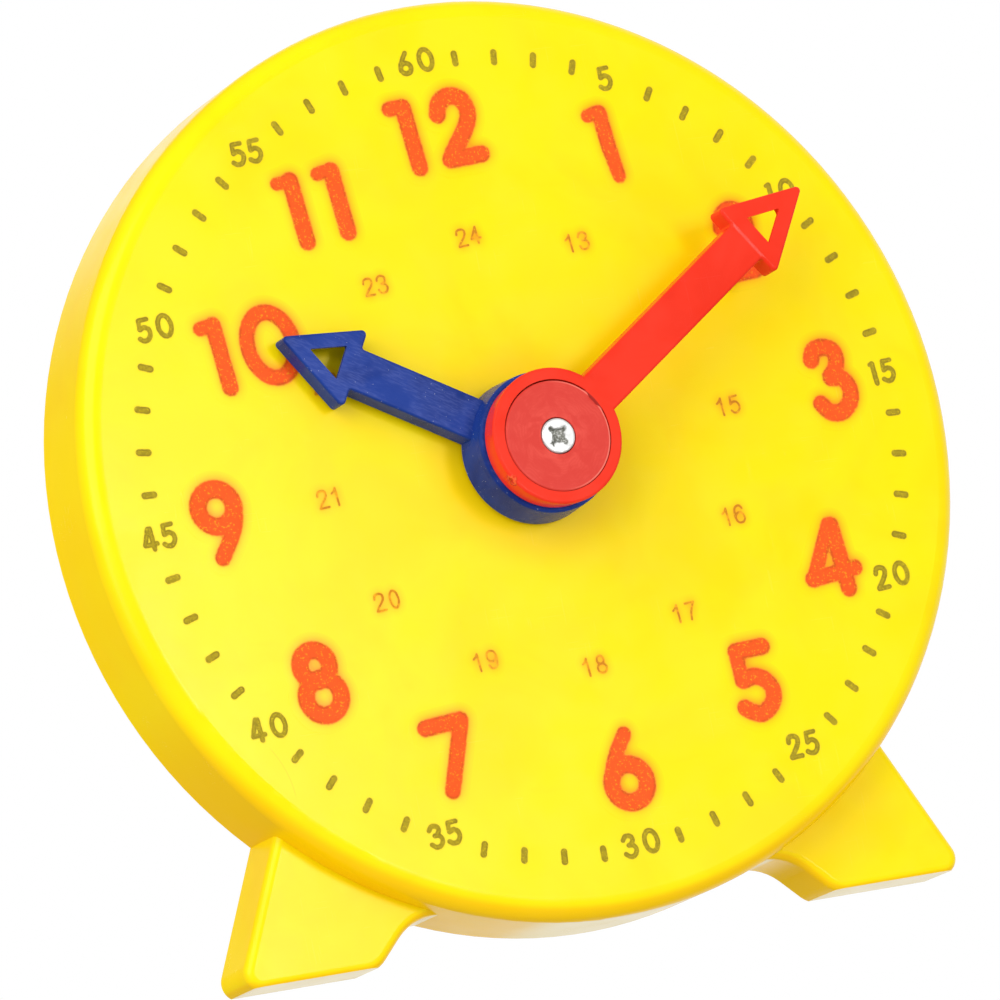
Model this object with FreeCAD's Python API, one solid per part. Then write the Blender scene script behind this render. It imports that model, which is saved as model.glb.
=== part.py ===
"""Geared teaching clock for the classroom, built as an assembly of separate pieces.

Units are millimetres and +Z is up. The clock stands on its two feet on z = 0 and its dial
faces -Y. Depths (d) are measured along +Y from the front face of the dial: what stands in
front of the dial has a negative depth. Positions across the dial (x, z) are measured from
its centre. One STEP file is written for each named piece.
"""
import FreeCAD, Part
import math
import os
from FreeCAD import Vector

os.makedirs("parts", exist_ok=True)

# The moulded case: a shallow drum with a flat dial and two feet
case_r = 50.2             # outside radius of the drum
case_depth = 12.0         # dial face to the rear edge of the rim
case_edge_r = 2.2         # rounding between the dial face and the side wall
dial_wall = 1.4           # thickness of the dial
side_wall = 2.0           # thickness of the side wall
case_inner_r = 0.8        # rounding inside, between the dial and the side wall

# The feet, moulded in one with the drum
foot_drop = 0.7           # how far the feet reach below the drum
foot_front_d = 4.4        # front plane of the feet behind the dial face
foot_edge_r = 1.0         # rounding along the front edges of the feet
foot_trim = 0.35          # the underside cuts that rounding off this far up
foot_wall = 1.9           # wall thickness of the feet
foot_side_deg = 45.0      # the outer side leaves the drum this far below the horizontal
foot_side_slope = 0.476   # sideways run of the outer side per mm down
foot_toe_share = 0.53     # corner of the inner slope and the underside, in drum radii
foot_slope_deg = 45.0     # inner slope of a foot
foot_heel_r = 1.9         # outer lower corner
foot_toe_r = 3.4          # inner lower corner
foot_web_r = 6.2          # hollow curve that runs from the foot into the drum
foot_web_bite = 0.25      # how far that curve runs into the drum
foot_bury = 6.0           # how far up inside the drum a foot's outer side runs on
foot_root_share = 0.84    # where its inner side ends inside the drum, in drum radii

# The cover that closes the back, lying on a ledge inside the rim
cover_thick = 2.3
cover_seat_d = 9.5        # depth of the ledge
ledge_lip = 1.1           # rim thickness behind the ledge
cover_gap = 0.15          # clearance between cover and rim
cover_edge = 0.3          # bevel of the cover's outer rear edge

# The self-tapping screws that hold the cover
rim_screw_degs = [90.0, 162.0, 18.0]
rim_screw_gap = 1.5       # between a rim screw's pad and the side wall
foot_screw_gap = 0.25     # between a foot screw's pad and the foot's outer wall
foot_screw_up = 7.3       # height of a foot screw above the underside
boss_r = 2.9              # screw boss in the case
pad_r = 3.5               # pad on the cover round each screw
pad_high = 0.5            # the pad meets the end of the boss
sink_r = 2.35             # recess for the screw head
sink_floor_d = 10.4
cover_screw_r = 1.1       # shank
cover_screw_len = 4.4
cover_screw_head_r = 2.0
cover_screw_head = 1.25
cover_screw_bevel = 0.35  # bevel of the head's edge
cover_screw_hole_r = 1.25 # clearance hole in the cover
pilot_gap = 0.03          # the shank's clearance in its boss
pilot_spare = 0.4         # hole left below the screw's end

# Ribs that stiffen the dial from behind
rib_thick = 1.2
rib_height = 3.4
rib_from_r = 24.5
rib_angles = [48.0, 69.0, 111.0, 132.0, 180.0, 0.0]
boss_rib_thick = 1.2
boss_rib_height = 5.5

# The centre bearing of the dial
bearing_r = 4.08          # hole for the hour tube
collar_r = 6.4            # raised collar under the hour hand and behind the dial
collar_front = 0.35
collar_back = 0.45

# The motion work: two pairs of gears on the same centre distance, 3 and 4 to 1
gear_module = 0.8
pressure_deg = 20.0
minute_teeth = 15         # pinion on the minute arbor
idler_wheel_teeth = 45    # wheel that the minute pinion drives
idler_pinion_teeth = 12   # pinion moulded on that wheel
hour_teeth = 48           # wheel on the hour tube
shift_first = 0.15        # addendum shift of the first pair, plus on the pinion
shift_second = 0.30       # addendum shift of the second pair
tooth_slack = 0.13        # tooth thinning on each gear, for free running
tip_clearance = 0.25      # in modules
root_round = 0.3          # height of the round roots between the teeth, in modules
train_deg = -90.0         # the idler's post lies straight below the centre

# The hour wheel and its tube
tube_r = 4.0
tube_bore_r = 2.5
tube_front_d = -5.1
tube_flat = 3.3           # half width across the two flats that key the hour hand
tube_key_d = -0.5         # where the flats begin
hour_wheel_d = 2.3        # front of the tooth rim
hour_wheel_thick = 2.4
hour_hub_r = 6.2
hour_hub_front_d = 2.1
hour_hub_back_d = 5.15
hour_web_front_d = 2.9
hour_web_back_d = 4.1
hour_rim_r = 16.0         # inside radius of the tooth rim
web_draft = 0.3           # taper of the wheels' rims towards their webs

# The idler: a wheel and a pinion in one piece on a post of the case
post_r = 1.9
post_gap = 0.07           # running clearance on the post
post_top_d = 9.4
post_foot_r = 3.4
post_foot_d = 1.95
idler_front_d = 2.1
idler_pinion_back_d = 5.6
idler_wheel_thick = 2.4
idler_hub_r = 3.9
idler_hub_back_d = 8.15
idler_web_inset = 0.55    # how far the web lies inside the rim on each side
idler_web_r = 5.5         # where the web begins
idler_rim_r = 14.6
post_boss_r = 3.6         # boss on the cover that takes the end of the post
post_boss_d = 8.35
post_socket_d = 9.7

# The minute arbor with its pinion
arbor_r = 2.42
arbor_neck_r = 2.1        # end that carries the minute hand
arbor_flat = 1.55         # flat on that end
arbor_shoulder_d = -5.42
arbor_front_d = -6.6
minute_pinion_d = 5.5
minute_pinion_thick = 2.8
pivot_r = 1.6             # rear pivot in the cover
pivot_gap = 0.07
pivot_end_d = 10.8
pivot_boss_r = 4.2
pivot_boss_d = 8.5
pivot_socket_d = 11.0

# The hour hand
hour_arm_front_d = -3.05
hand_rest_d = -0.55       # rear face of the hour hand
hour_hub_face_d = -5.3
hour_boss_r = 7.9         # boss at its rear
hour_boss_front_r = 7.66
hour_boss_edge_r = 0.35
hour_arm_half = 2.35
hour_head_s = 21.75       # back edge of the arrow head
hour_head_half = 4.65
hour_tip_s = 30.3
hour_window_s = 23.45     # back edge of the window in the arrow head
hour_window_half = 1.98
hour_window_tip_s = 27.3  # its point, before the corner is rounded
key_gap = 0.03

# The minute hand
minute_back_d = -5.45
minute_front_d = -8.2
minute_boss_r = 7.2
minute_boss_front_r = 7.4
minute_arm_half = 2.4
minute_head_s = 32.05
minute_head_half = 4.75
minute_tip_s = 41.2
minute_window_s = 33.9
minute_window_half = 1.83
minute_window_tip_s = 37.7
minute_sink_d = -6.62     # floor of the round recess for the cap

# Shared by both hands
head_corner_r = 0.5
tip_r = 0.45
window_r = 0.12
window_lip = 0.45         # thickness of the face round a window
window_relief = 0.9       # the window is this much wider behind that face
root_r = 0.3              # curve between an arm and its arrow head
arm_edge_r = 0.3          # rounding of the front edges

# The cap and the screw that hold the minute hand
cap_r = 5.98
cap_gap = 0.1
cap_seat_gap = 0.02       # under the cap
cap_face_d = -8.27
cap_edge_r = 0.2
cap_notch_r = 1.7         # scallop in the cap's edge, towards the arm
cap_notch_at = 6.9
cap_sink_r = 2.0
cap_sink_d = -7.2
cap_hole_r = 1.15
screw_head_r = 1.89
screw_top_d = -8.35
screw_dome = 0.35
screw_r = 1.0
screw_len = 8.0
screw_slot = 0.5
screw_slot_len = 2.3
screw_slot_deep = 0.6

# Where the hands point, in degrees clockwise from the printed 12
print_twist_deg = 4.4     # the print is turned this far anticlockwise on the case
minute_rest_deg = 60.4
hour_rest_deg = 304.5

# The feet and the screws take their places from the drum
foot_z = case_r + foot_drop
foot_side_x = case_r * math.cos(math.radians(foot_side_deg))
foot_side_z = -case_r * math.sin(math.radians(foot_side_deg))
foot_toe_x = foot_toe_share * case_r
foot_lean = math.hypot(1.0, foot_side_slope)
boss_top_d = cover_seat_d - pad_high
rim_screw_at = case_r - side_wall - rim_screw_gap - pad_r
foot_screw_z = foot_screw_up - foot_z
foot_screw_x = (foot_side_x + foot_side_slope * (foot_side_z - foot_screw_z)
                - foot_lean * (foot_wall + foot_screw_gap + pad_r))
screw_places = [(rim_screw_at * math.cos(math.radians(a)), rim_screw_at * math.sin(math.radians(a)))
                for a in rim_screw_degs]
screw_places = screw_places + [(-foot_screw_x, foot_screw_z), (foot_screw_x, foot_screw_z)]

# The origin lies under the middle of the depth, from the screw head to the rim
dial_y = -(case_depth + screw_top_d) / 2.0
dial_z = foot_z
gear_distance = gear_module * (minute_teeth + idler_wheel_teeth) / 2.0
idler_x = gear_distance * math.cos(math.radians(train_deg))
idler_z = gear_distance * math.sin(math.radians(train_deg))
ACROSS = Vector(0, 1, 0)
bite = 0.5                # how far joined shapes run into each other
past = 1.0                # how far cutting shapes run past what they cut


def at(x, d, z):
    """Point at x, z from the dial centre and at depth d behind the dial face."""
    return Vector(x, dial_y + d, dial_z + z)


def rod(r, d0, d1, x=0.0, z=0.0):
    """Cylinder along the depth, from d0 to d1."""
    return Part.makeCylinder(r, d1 - d0, at(x, d0, z), ACROSS)


def line(p, q):
    return Part.LineSegment(p, q).toShape()


def arc(p, q, r):
    return Part.Arc(p, q, r).toShape()


def prism(wire, d0, d1):
    """Solid with the outline of a wire that was drawn at depth d0."""
    return Part.Face(wire).extrude(ACROSS * (d1 - d0))


def rounded(points, d):
    """Closed wire at depth d through corners (x, z, radius), each with its rounding."""
    edges = []
    joints = []
    count = len(points)
    for i in range(count):
        x, z, r = points[i]
        xa, za, ra = points[i - 1]
        xb, zb, rb = points[(i + 1) % count]
        la = math.hypot(xa - x, za - z)
        lb = math.hypot(xb - x, zb - z)
        ua = ((xa - x) / la, (za - z) / la)
        ub = ((xb - x) / lb, (zb - z) / lb)
        half = math.acos(max(-1.0, min(1.0, ua[0] * ub[0] + ua[1] * ub[1]))) / 2.0
        cut = r / math.tan(half)
        bis = (ua[0] + ub[0], ua[1] + ub[1])
        size = math.hypot(bis[0], bis[1])
        deep = r / math.sin(half) - r
        start = at(x + ua[0] * cut, d, z + ua[1] * cut)
        end = at(x + ub[0] * cut, d, z + ub[1] * cut)
        middle = at(x + bis[0] / size * deep, d, z + bis[1] / size * deep)
        joints.append((start, middle, end, r))
    for i in range(count):
        start, middle, end, r = joints[i]
        if r > 0:
            edges.append(arc(start, middle, end))
        edges.append(line(end, joints[(i + 1) % count][0]))
    return Part.Wire(edges)


def turned(points):
    """Solid of revolution about the clock's axis through corners (radius, depth)."""
    corners = [at(r, d, 0.0) for r, d in points]
    face = Part.Face(Part.makePolygon(corners + corners[:1]))
    return face.revolve(at(0, 0, 0), ACROSS, 360)


def flat_edges(shape, d, keep=None):
    """Edges of a shape that lie wholly at depth d and pass the test keep(x, z), if given."""
    found = []
    for edge in shape.Edges:
        box = edge.BoundBox
        if abs(box.YMin - dial_y - d) < 1e-4 and abs(box.YMax - dial_y - d) < 1e-4:
            c = edge.CenterOfMass
            if keep is None or keep(c.x, c.z - dial_z):
                found.append(edge)
    return found


def save(name, shape):
    shape.exportStep("parts/" + name + ".step")
    solids = len(shape.Solids)
    print(name, "solids", solids, "volume", round(shape.Volume, 1), "valid", shape.isValid())


def involute(angle):
    return math.tan(angle) - angle


def gear(teeth, shift, d0, d1, x, z, tooth_at):
    """Spur gear from d0 to d1 about x, z, with the middle of a tooth at tooth_at degrees."""
    pitch_r = gear_module * teeth / 2.0
    pressure = math.radians(pressure_deg)
    base_r = pitch_r * math.cos(pressure)
    tip = pitch_r + gear_module * (1.0 + shift)
    root = pitch_r - gear_module * (1.0 + tip_clearance - shift)
    half = (math.pi / 2.0 + 2.0 * shift * math.tan(pressure)) / teeth
    half = half - tooth_slack / (2.0 * pitch_r)

    def half_at(r):
        turn = math.acos(min(1.0, base_r / r))
        return half + involute(pressure) - involute(turn)

    def spot(r, angle):
        return at(x + r * math.cos(angle), d0, z + r * math.sin(angle))

    # the flank is an involute down to the round root, which starts below it or at it
    low = max(base_r, root + root_round * gear_module)
    middle = (low + tip) / 2.0
    step = 2.0 * math.pi / teeth
    edges = []
    for i in range(teeth):
        a = math.radians(tooth_at) + i * step
        rise = [spot(r, a - half_at(r)) for r in (low, middle, tip)]
        fall = [spot(r, a + half_at(r)) for r in (tip, middle, low)]
        edges.append(arc(rise[0], rise[1], rise[2]))
        edges.append(line(rise[2], fall[0]))
        edges.append(arc(fall[0], fall[1], fall[2]))
        edges.append(arc(fall[2], spot(root, a + step / 2.0), spot(low, a + step - half_at(low))))
    return prism(Part.Wire(edges), d0, d1)


def drum(r, d0, d1, front_r):
    """Disc from d0 to d1 with a rounded front edge."""
    side = math.sqrt(0.5)
    bend = at(r - front_r + front_r * side, d0 + front_r - front_r * side, 0)
    edges = [line(at(0, d0, 0), at(r - front_r, d0, 0))]
    edges.append(arc(at(r - front_r, d0, 0), bend, at(r, d0 + front_r, 0)))
    edges.append(line(at(r, d0 + front_r, 0), at(r, d1, 0)))
    edges.append(line(at(r, d1, 0), at(0, d1, 0)))
    edges.append(line(at(0, d1, 0), at(0, d0, 0)))
    return Part.Face(Part.Wire(edges)).revolve(at(0, 0, 0), ACROSS, 360)


def foot_outline(side, d, drop=0.0):
    """Outline of one foot at depth d, reaching into the drum and drop below the underside."""
    slope = math.radians(foot_slope_deg)
    nx = math.sin(slope)
    nz = math.cos(slope)
    low_z = -foot_z - drop
    toe_x = foot_toe_x + drop * nz / nx
    heel_x = foot_side_x + foot_side_slope * (foot_side_z - low_z)
    # the centre of the hollow curve lies off the slope and off the drum by its radius
    reach = case_r - foot_web_bite + foot_web_r
    off = nx * foot_toe_x - nz * foot_z - foot_web_r
    along = math.sqrt(reach * reach - off * off)
    cx = nx * off + nz * along
    cz = nz * off - nx * along
    to_slope = math.atan2(nz, nx)
    to_drum = math.atan2(-cz, -cx)
    web = [(cx + foot_web_r * math.cos(a), cz + foot_web_r * math.sin(a))
           for a in (to_drum, (to_slope + to_drum) / 2.0, to_slope)]
    heel = corner(heel_x, low_z, (-foot_side_slope / foot_lean, 1.0 / foot_lean), -1, foot_heel_r)
    toe = corner(toe_x, low_z, (-nz, nx), 1, foot_toe_r)
    top = (foot_side_x - foot_side_slope * foot_bury, foot_side_z + foot_bury)
    share = foot_root_share * case_r / math.hypot(web[0][0], web[0][1])
    inner = (web[0][0] * share, web[0][1] * share)

    def spot(p):
        return at(side * p[0], d, p[1])

    edges = [arc(spot(web[0]), spot(web[1]), spot(web[2]))]
    edges.append(line(spot(web[2]), spot(toe[0])))
    edges.append(arc(spot(toe[0]), spot(toe[1]), spot(toe[2])))
    edges.append(line(spot(toe[2]), spot(heel[2])))
    edges.append(arc(spot(heel[2]), spot(heel[1]), spot(heel[0])))
    edges.append(line(spot(heel[0]), spot(top)))
    edges.append(line(spot(top), spot(inner)))
    edges.append(line(spot(inner), spot(web[0])))
    return Part.Wire(edges)


def corner(x, z, up, way, r):
    """Rounding of radius r where a side that leaves in direction up meets a level line.

    The line leaves the corner x, z towards way (1 or -1). Gives the points on the side,
    in the middle of the rounding and on the level line.
    """
    half = math.acos(up[0] * way) / 2.0
    cut = r / math.tan(half)
    centre = (x + way * cut, z + r)
    away = math.hypot(x - centre[0], z - centre[1])
    middle = (centre[0] + (x - centre[0]) / away * r, centre[1] + (z - centre[1]) / away * r)
    return [(x + up[0] * cut, z + up[1] * cut), middle, (centre[0], z)]


def case_outline(d, inset):
    """Outline of drum and feet together at depth d, drawn in by inset."""
    slab = rod(case_r, d, d + past)
    for side in (-1, 1):
        slab = slab.fuse(prism(foot_outline(side, d), d, d + past))
    for face in slab.removeSplitter().Faces:
        if abs(face.CenterOfMass.y - dial_y - d) < 1e-4:
            return face.OuterWire.makeOffset2D(-inset)


def dial_rib(start, thick, high, angle):
    """Rib behind the dial that runs outward from radius start at an angle from +X."""
    rib = Part.makeBox(case_r - side_wall + bite - start, high + bite, thick,
                       at(start, dial_wall - bite, -thick / 2.0))
    rib.rotate(at(0, 0, 0), ACROSS, -angle)
    return rib


def make_case():
    body = drum(case_r, 0.0, case_depth, case_edge_r)
    for side in (-1, 1):
        foot = prism(foot_outline(side, foot_front_d, foot_trim), foot_front_d, case_depth)
        edges = flat_edges(foot, foot_front_d, lambda x, z: math.hypot(x, z) > case_r)
        foot = foot.makeFillet(foot_edge_r, edges)
        under = Part.makeBox(4.0 * case_r, case_depth, past,
                             at(-2.0 * case_r, foot_front_d - past, -foot_z - past))
        body = body.fuse(foot.cut(under))
    body = body.removeSplitter()
    hollow = drum(case_r - side_wall, dial_wall, case_depth + past, case_inner_r)
    foot_room_d = foot_front_d + foot_wall
    hollow = hollow.fuse(prism(case_outline(foot_room_d, foot_wall), foot_room_d,
                               case_depth + past))
    hollow = hollow.fuse(prism(case_outline(cover_seat_d, ledge_lip), cover_seat_d,
                               case_depth + past))
    body = body.cut(hollow)
    added = [dial_rib(rib_from_r, rib_thick, rib_height, angle) for angle in rib_angles]
    added += [dial_rib(rim_screw_at, boss_rib_thick, boss_rib_height, a) for a in rim_screw_degs]
    for x, z in screw_places:
        added.append(rod(boss_r, dial_wall - bite, boss_top_d, x, z))
    added.append(rod(collar_r, -collar_front, dial_wall + collar_back))
    added.append(rod(post_r, dial_wall - bite, post_top_d, idler_x, idler_z))
    added.append(rod(post_foot_r, dial_wall - bite, post_foot_d, idler_x, idler_z))
    # the bosses and ribs end inside the walls
    keep = drum(case_r - bite, 0.0, case_depth, case_edge_r)
    keep = keep.fuse(rod(collar_r, -collar_front, bite))
    for side in (-1, 1):
        keep = keep.fuse(prism(foot_outline(side, foot_front_d + bite), foot_front_d + bite,
                               case_depth))
    body = body.fuse(added[0].multiFuse(added[1:]).common(keep)).removeSplitter()
    body = body.cut(rod(bearing_r, -collar_front - past, dial_wall + collar_back + past))
    pilot_d = sink_floor_d - cover_screw_len - pilot_spare
    for x, z in screw_places:
        body = body.cut(rod(cover_screw_r + pilot_gap, pilot_d, boss_top_d + past, x, z))
    return body


def make_cover():
    back_d = cover_seat_d + cover_thick
    plate = prism(case_outline(cover_seat_d, ledge_lip + cover_gap), cover_seat_d, back_d)
    plate = plate.makeChamfer(cover_edge, flat_edges(plate, back_d))
    for x, z in screw_places:
        plate = plate.fuse(rod(pad_r, boss_top_d, cover_seat_d + bite, x, z))
    plate = plate.fuse(rod(pivot_boss_r, pivot_boss_d, cover_seat_d + bite))
    plate = plate.fuse(rod(post_boss_r, post_boss_d, cover_seat_d + bite, idler_x, idler_z))
    for x, z in screw_places:
        plate = plate.cut(rod(sink_r, sink_floor_d, back_d + past, x, z))
        plate = plate.cut(rod(cover_screw_hole_r, boss_top_d - past, back_d, x, z))
    plate = plate.cut(rod(pivot_r + pivot_gap, pivot_boss_d - past, pivot_socket_d))
    return plate.cut(rod(post_r + post_gap, post_boss_d - past, post_socket_d, idler_x, idler_z))


def make_cover_screws():
    top_d = sink_floor_d + cover_screw_head
    screws = []
    for x, z in screw_places:
        head = rod(cover_screw_head_r, sink_floor_d, top_d, x, z)
        head = head.makeChamfer(cover_screw_bevel, flat_edges(head, top_d))
        head = head.cut(cross(x, z, top_d - screw_slot_deep, top_d + past))
        screws.append(head.fuse(rod(cover_screw_r, sink_floor_d - cover_screw_len,
                                    sink_floor_d, x, z)))
    return Part.makeCompound(screws)


def cross(x, z, d0, d1):
    """Cross recess of a screw head at x, z, from d0 to d1."""
    bars = []
    for angle in (45.0, 135.0):
        bar = Part.makeBox(screw_slot_len, d1 - d0, screw_slot,
                           at(x - screw_slot_len / 2.0, d0, z - screw_slot / 2.0))
        bar.rotate(at(x, 0, z), ACROSS, angle)
        bars.append(bar)
    return bars[0].fuse(bars[1])


def web_groove(hub_r, rim_r, face_d, web_d):
    """Ring that thins a wheel between its hub and its tooth rim, from a face to the web."""
    return turned([(hub_r, face_d), (rim_r, face_d), (rim_r - web_draft, web_d), (hub_r, web_d)])


def make_hour_wheel():
    back_d = hour_wheel_d + hour_wheel_thick
    wheel = gear(hour_teeth, -shift_second, hour_wheel_d, back_d, 0, 0, train_deg)
    wheel = wheel.cut(web_groove(hour_hub_r, hour_rim_r, hour_wheel_d - past, hour_web_front_d))
    wheel = wheel.cut(web_groove(hour_hub_r, hour_rim_r, back_d + past, hour_web_back_d))
    wheel = wheel.fuse(rod(hour_hub_r, hour_hub_front_d, hour_hub_back_d))
    wheel = wheel.fuse(rod(tube_r, tube_front_d, hour_hub_front_d + bite)).removeSplitter()
    wheel = wheel.cut(flats(tube_flat, tube_r, tube_front_d, tube_key_d, hour_rest_deg))
    return wheel.cut(rod(tube_bore_r, tube_front_d - past, hour_hub_back_d + past))


def flats(half, r, d0, d1, clock_deg):
    """Two blocks that cut flats on either side of a shaft, square to a hand's direction."""
    blocks = []
    for side in (-1, 1):
        low = half if side > 0 else -half - r
        block = Part.makeBox(4.0 * r, d1 - d0, r, at(-2.0 * r, d0, low))
        block.rotate(at(0, 0, 0), ACROSS, -hand_angle(clock_deg))
        blocks.append(block)
    return blocks[0].fuse(blocks[1])


def hand_angle(clock_deg):
    """Direction on the clock as an angle from +X towards +Z."""
    return 90.0 + print_twist_deg - clock_deg


def make_idler():
    wheel_d = idler_pinion_back_d
    back_d = wheel_d + idler_wheel_thick
    wheel = gear(idler_wheel_teeth, -shift_first, wheel_d, back_d, idler_x, idler_z,
                 train_deg + 180.0 + 180.0 / idler_wheel_teeth)
    for face_d, web_d in ((wheel_d - past, wheel_d + idler_web_inset),
                          (back_d + past, back_d - idler_web_inset)):
        groove = web_groove(idler_web_r, idler_rim_r, face_d, web_d)
        groove.translate(Vector(idler_x, 0, idler_z))
        wheel = wheel.cut(groove)
    pinion = gear(idler_pinion_teeth, shift_second, idler_front_d, wheel_d + bite,
                  idler_x, idler_z, train_deg + 180.0 + 180.0 / idler_pinion_teeth)
    wheel = wheel.fuse(pinion)
    wheel = wheel.fuse(rod(idler_hub_r, wheel_d + bite, idler_hub_back_d, idler_x, idler_z))
    wheel = wheel.removeSplitter()
    return wheel.cut(rod(post_r + post_gap, idler_front_d - past, idler_hub_back_d + past,
                         idler_x, idler_z))


def make_arbor():
    back_d = minute_pinion_d + minute_pinion_thick
    arbor = gear(minute_teeth, shift_first, minute_pinion_d, back_d, 0, 0, train_deg)
    arbor = arbor.fuse(rod(arbor_r, arbor_shoulder_d, minute_pinion_d + bite))
    arbor = arbor.fuse(rod(pivot_r, back_d - bite, pivot_end_d))
    neck = rod(arbor_neck_r, arbor_front_d, arbor_shoulder_d + bite)
    neck = neck.cut(flats(arbor_flat, arbor_r, arbor_front_d, arbor_shoulder_d, minute_rest_deg))
    arbor = arbor.fuse(neck).removeSplitter()
    end_d = cap_sink_d + screw_len + pilot_spare
    return arbor.cut(rod(screw_r + pilot_gap, arbor_front_d - past, end_d))


def hand_arm(d0, d1, half, head_s, head_half, tip_s):
    """Arm with its arrow head, pointing along +X from the centre."""
    slope = math.atan2(head_half, tip_s - head_s)
    points = [(0.0, half, 0.0), (head_s, half, root_r), (head_s, head_half, head_corner_r)]
    points.append((tip_s + tip_r / math.sin(slope) - tip_r, 0.0, tip_r))
    points.append((head_s, -head_half, head_corner_r))
    points.append((head_s, -half, root_r))
    points.append((0.0, -half, 0.0))
    return prism(rounded(points, d0), d0, d1)


def window(back_s, back_half, point_s, d0, d1, wider=0.0):
    """Three-cornered window of an arrow head from d0 to d1, with its sides moved out by wider."""
    slope = math.atan2(back_half, point_s - back_s)
    back = back_s - wider
    point = point_s + wider / math.sin(slope)
    half = (point - back) * math.tan(slope)
    r = window_r + wider
    return prism(rounded([(back, half, r), (point, 0.0, r), (back, -half, r)], d0), d0, d1)


def make_hour_hand():
    arm = hand_arm(hour_arm_front_d, hand_rest_d, hour_arm_half, hour_head_s, hour_head_half,
                   hour_tip_s)
    arm = arm.makeFillet(arm_edge_r, flat_edges(arm, hour_arm_front_d, lambda x, z: x > arm_edge_r))
    boss = turned([(0.0, hand_rest_d), (hour_boss_r, hand_rest_d),
                   (hour_boss_front_r, hour_hub_face_d), (0.0, hour_hub_face_d)])
    boss = boss.makeFillet(hour_boss_edge_r, flat_edges(boss, hour_hub_face_d))
    hand = arm.fuse(boss).removeSplitter()
    hand = hand.cut(window(hour_window_s, hour_window_half, hour_window_tip_s,
                           hour_arm_front_d - past, hand_rest_d + past))
    hand = hand.cut(window(hour_window_s, hour_window_half, hour_window_tip_s,
                           hour_arm_front_d + window_lip, hand_rest_d + past, window_relief))
    hand.rotate(at(0, 0, 0), ACROSS, -hand_angle(hour_rest_deg))
    bore_d = hour_hub_face_d - past
    bore = rod(tube_r + key_gap, bore_d, hand_rest_d + past)
    bore = bore.cut(flats(tube_flat + key_gap, tube_r, bore_d, hand_rest_d + past, hour_rest_deg))
    return hand.cut(bore)


def make_minute_hand():
    arm = hand_arm(minute_front_d, minute_back_d, minute_arm_half, minute_head_s,
                   minute_head_half, minute_tip_s)
    boss = turned([(0.0, minute_back_d), (minute_boss_r, minute_back_d),
                   (minute_boss_front_r, minute_front_d), (0.0, minute_front_d)])
    hand = arm.fuse(boss).removeSplitter()
    hand = hand.makeFillet(arm_edge_r, flat_edges(hand, minute_front_d))
    hand = hand.cut(window(minute_window_s, minute_window_half, minute_window_tip_s,
                           minute_front_d - past, minute_back_d + past))
    hand = hand.cut(window(minute_window_s, minute_window_half, minute_window_tip_s,
                           minute_front_d + window_lip, minute_back_d + past, window_relief))
    sink = rod(cap_r + cap_gap, minute_front_d - past, minute_sink_d)
    # a key of the hand fills the scallop in the cap's edge
    key = rod(cap_notch_r - cap_gap, minute_front_d - past, minute_sink_d, cap_notch_at, 0.0)
    hand = hand.cut(sink.cut(key))
    hand.rotate(at(0, 0, 0), ACROSS, -hand_angle(minute_rest_deg))
    bore_d = minute_sink_d - past
    bore = rod(arbor_neck_r + key_gap, bore_d, minute_back_d + past)
    bore = bore.cut(flats(arbor_flat + key_gap, arbor_r, bore_d, minute_back_d + past,
                          minute_rest_deg))
    return hand.cut(bore)


def make_cap():
    cap = rod(cap_r, cap_face_d, minute_sink_d - cap_seat_gap)
    cap = cap.makeFillet(cap_edge_r, flat_edges(cap, cap_face_d))
    cap = cap.cut(rod(cap_notch_r, cap_face_d - past, minute_sink_d + past, cap_notch_at, 0.0))
    cap.rotate(at(0, 0, 0), ACROSS, -hand_angle(minute_rest_deg))
    cap = cap.cut(rod(cap_hole_r, cap_face_d - past, minute_sink_d + past))
    return cap.cut(rod(cap_sink_r, cap_face_d - past, cap_sink_d))


def make_hand_screw():
    head = rod(screw_head_r, screw_top_d, cap_sink_d)
    head = head.makeFillet(screw_dome, flat_edges(head, screw_top_d))
    head = head.cut(cross(0.0, 0.0, screw_top_d - past, screw_top_d + screw_slot_deep))
    return head.fuse(rod(screw_r, cap_sink_d, cap_sink_d + screw_len))


save("dial_case", make_case())
save("back_cover", make_cover())
save("cover_screws", make_cover_screws())
save("hour_wheel", make_hour_wheel())
save("idler_gear", make_idler())
save("minute_arbor", make_arbor())
save("hour_hand", make_hour_hand())
save("minute_hand", make_minute_hand())
save("hand_cap", make_cap())
save("hand_screw", make_hand_screw())
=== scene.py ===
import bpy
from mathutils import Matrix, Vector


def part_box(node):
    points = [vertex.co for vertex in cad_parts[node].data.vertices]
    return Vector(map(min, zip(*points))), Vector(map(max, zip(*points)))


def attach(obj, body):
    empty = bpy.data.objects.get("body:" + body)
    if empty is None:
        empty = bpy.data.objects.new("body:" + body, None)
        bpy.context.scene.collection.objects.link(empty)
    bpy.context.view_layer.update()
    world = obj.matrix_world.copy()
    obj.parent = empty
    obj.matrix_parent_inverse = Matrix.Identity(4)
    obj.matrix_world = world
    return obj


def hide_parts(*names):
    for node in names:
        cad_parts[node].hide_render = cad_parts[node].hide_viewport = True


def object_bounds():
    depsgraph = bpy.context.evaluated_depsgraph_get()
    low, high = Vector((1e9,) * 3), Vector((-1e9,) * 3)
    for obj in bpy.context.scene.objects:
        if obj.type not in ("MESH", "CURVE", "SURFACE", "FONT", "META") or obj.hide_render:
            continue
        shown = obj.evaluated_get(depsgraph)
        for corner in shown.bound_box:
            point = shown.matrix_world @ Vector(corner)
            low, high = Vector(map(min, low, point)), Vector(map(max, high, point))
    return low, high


bl_info = {
    "name": "Geared Teaching Clock",
    "version": (1, 0, 0),
    "blender": (4, 5, 0),
    "location": "3D View > Sidebar > Clock",
    "description": "Prints the dial of a geared teaching clock and finishes its plastic and metal pieces",
    "category": "Add Mesh",
}

import math

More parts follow.
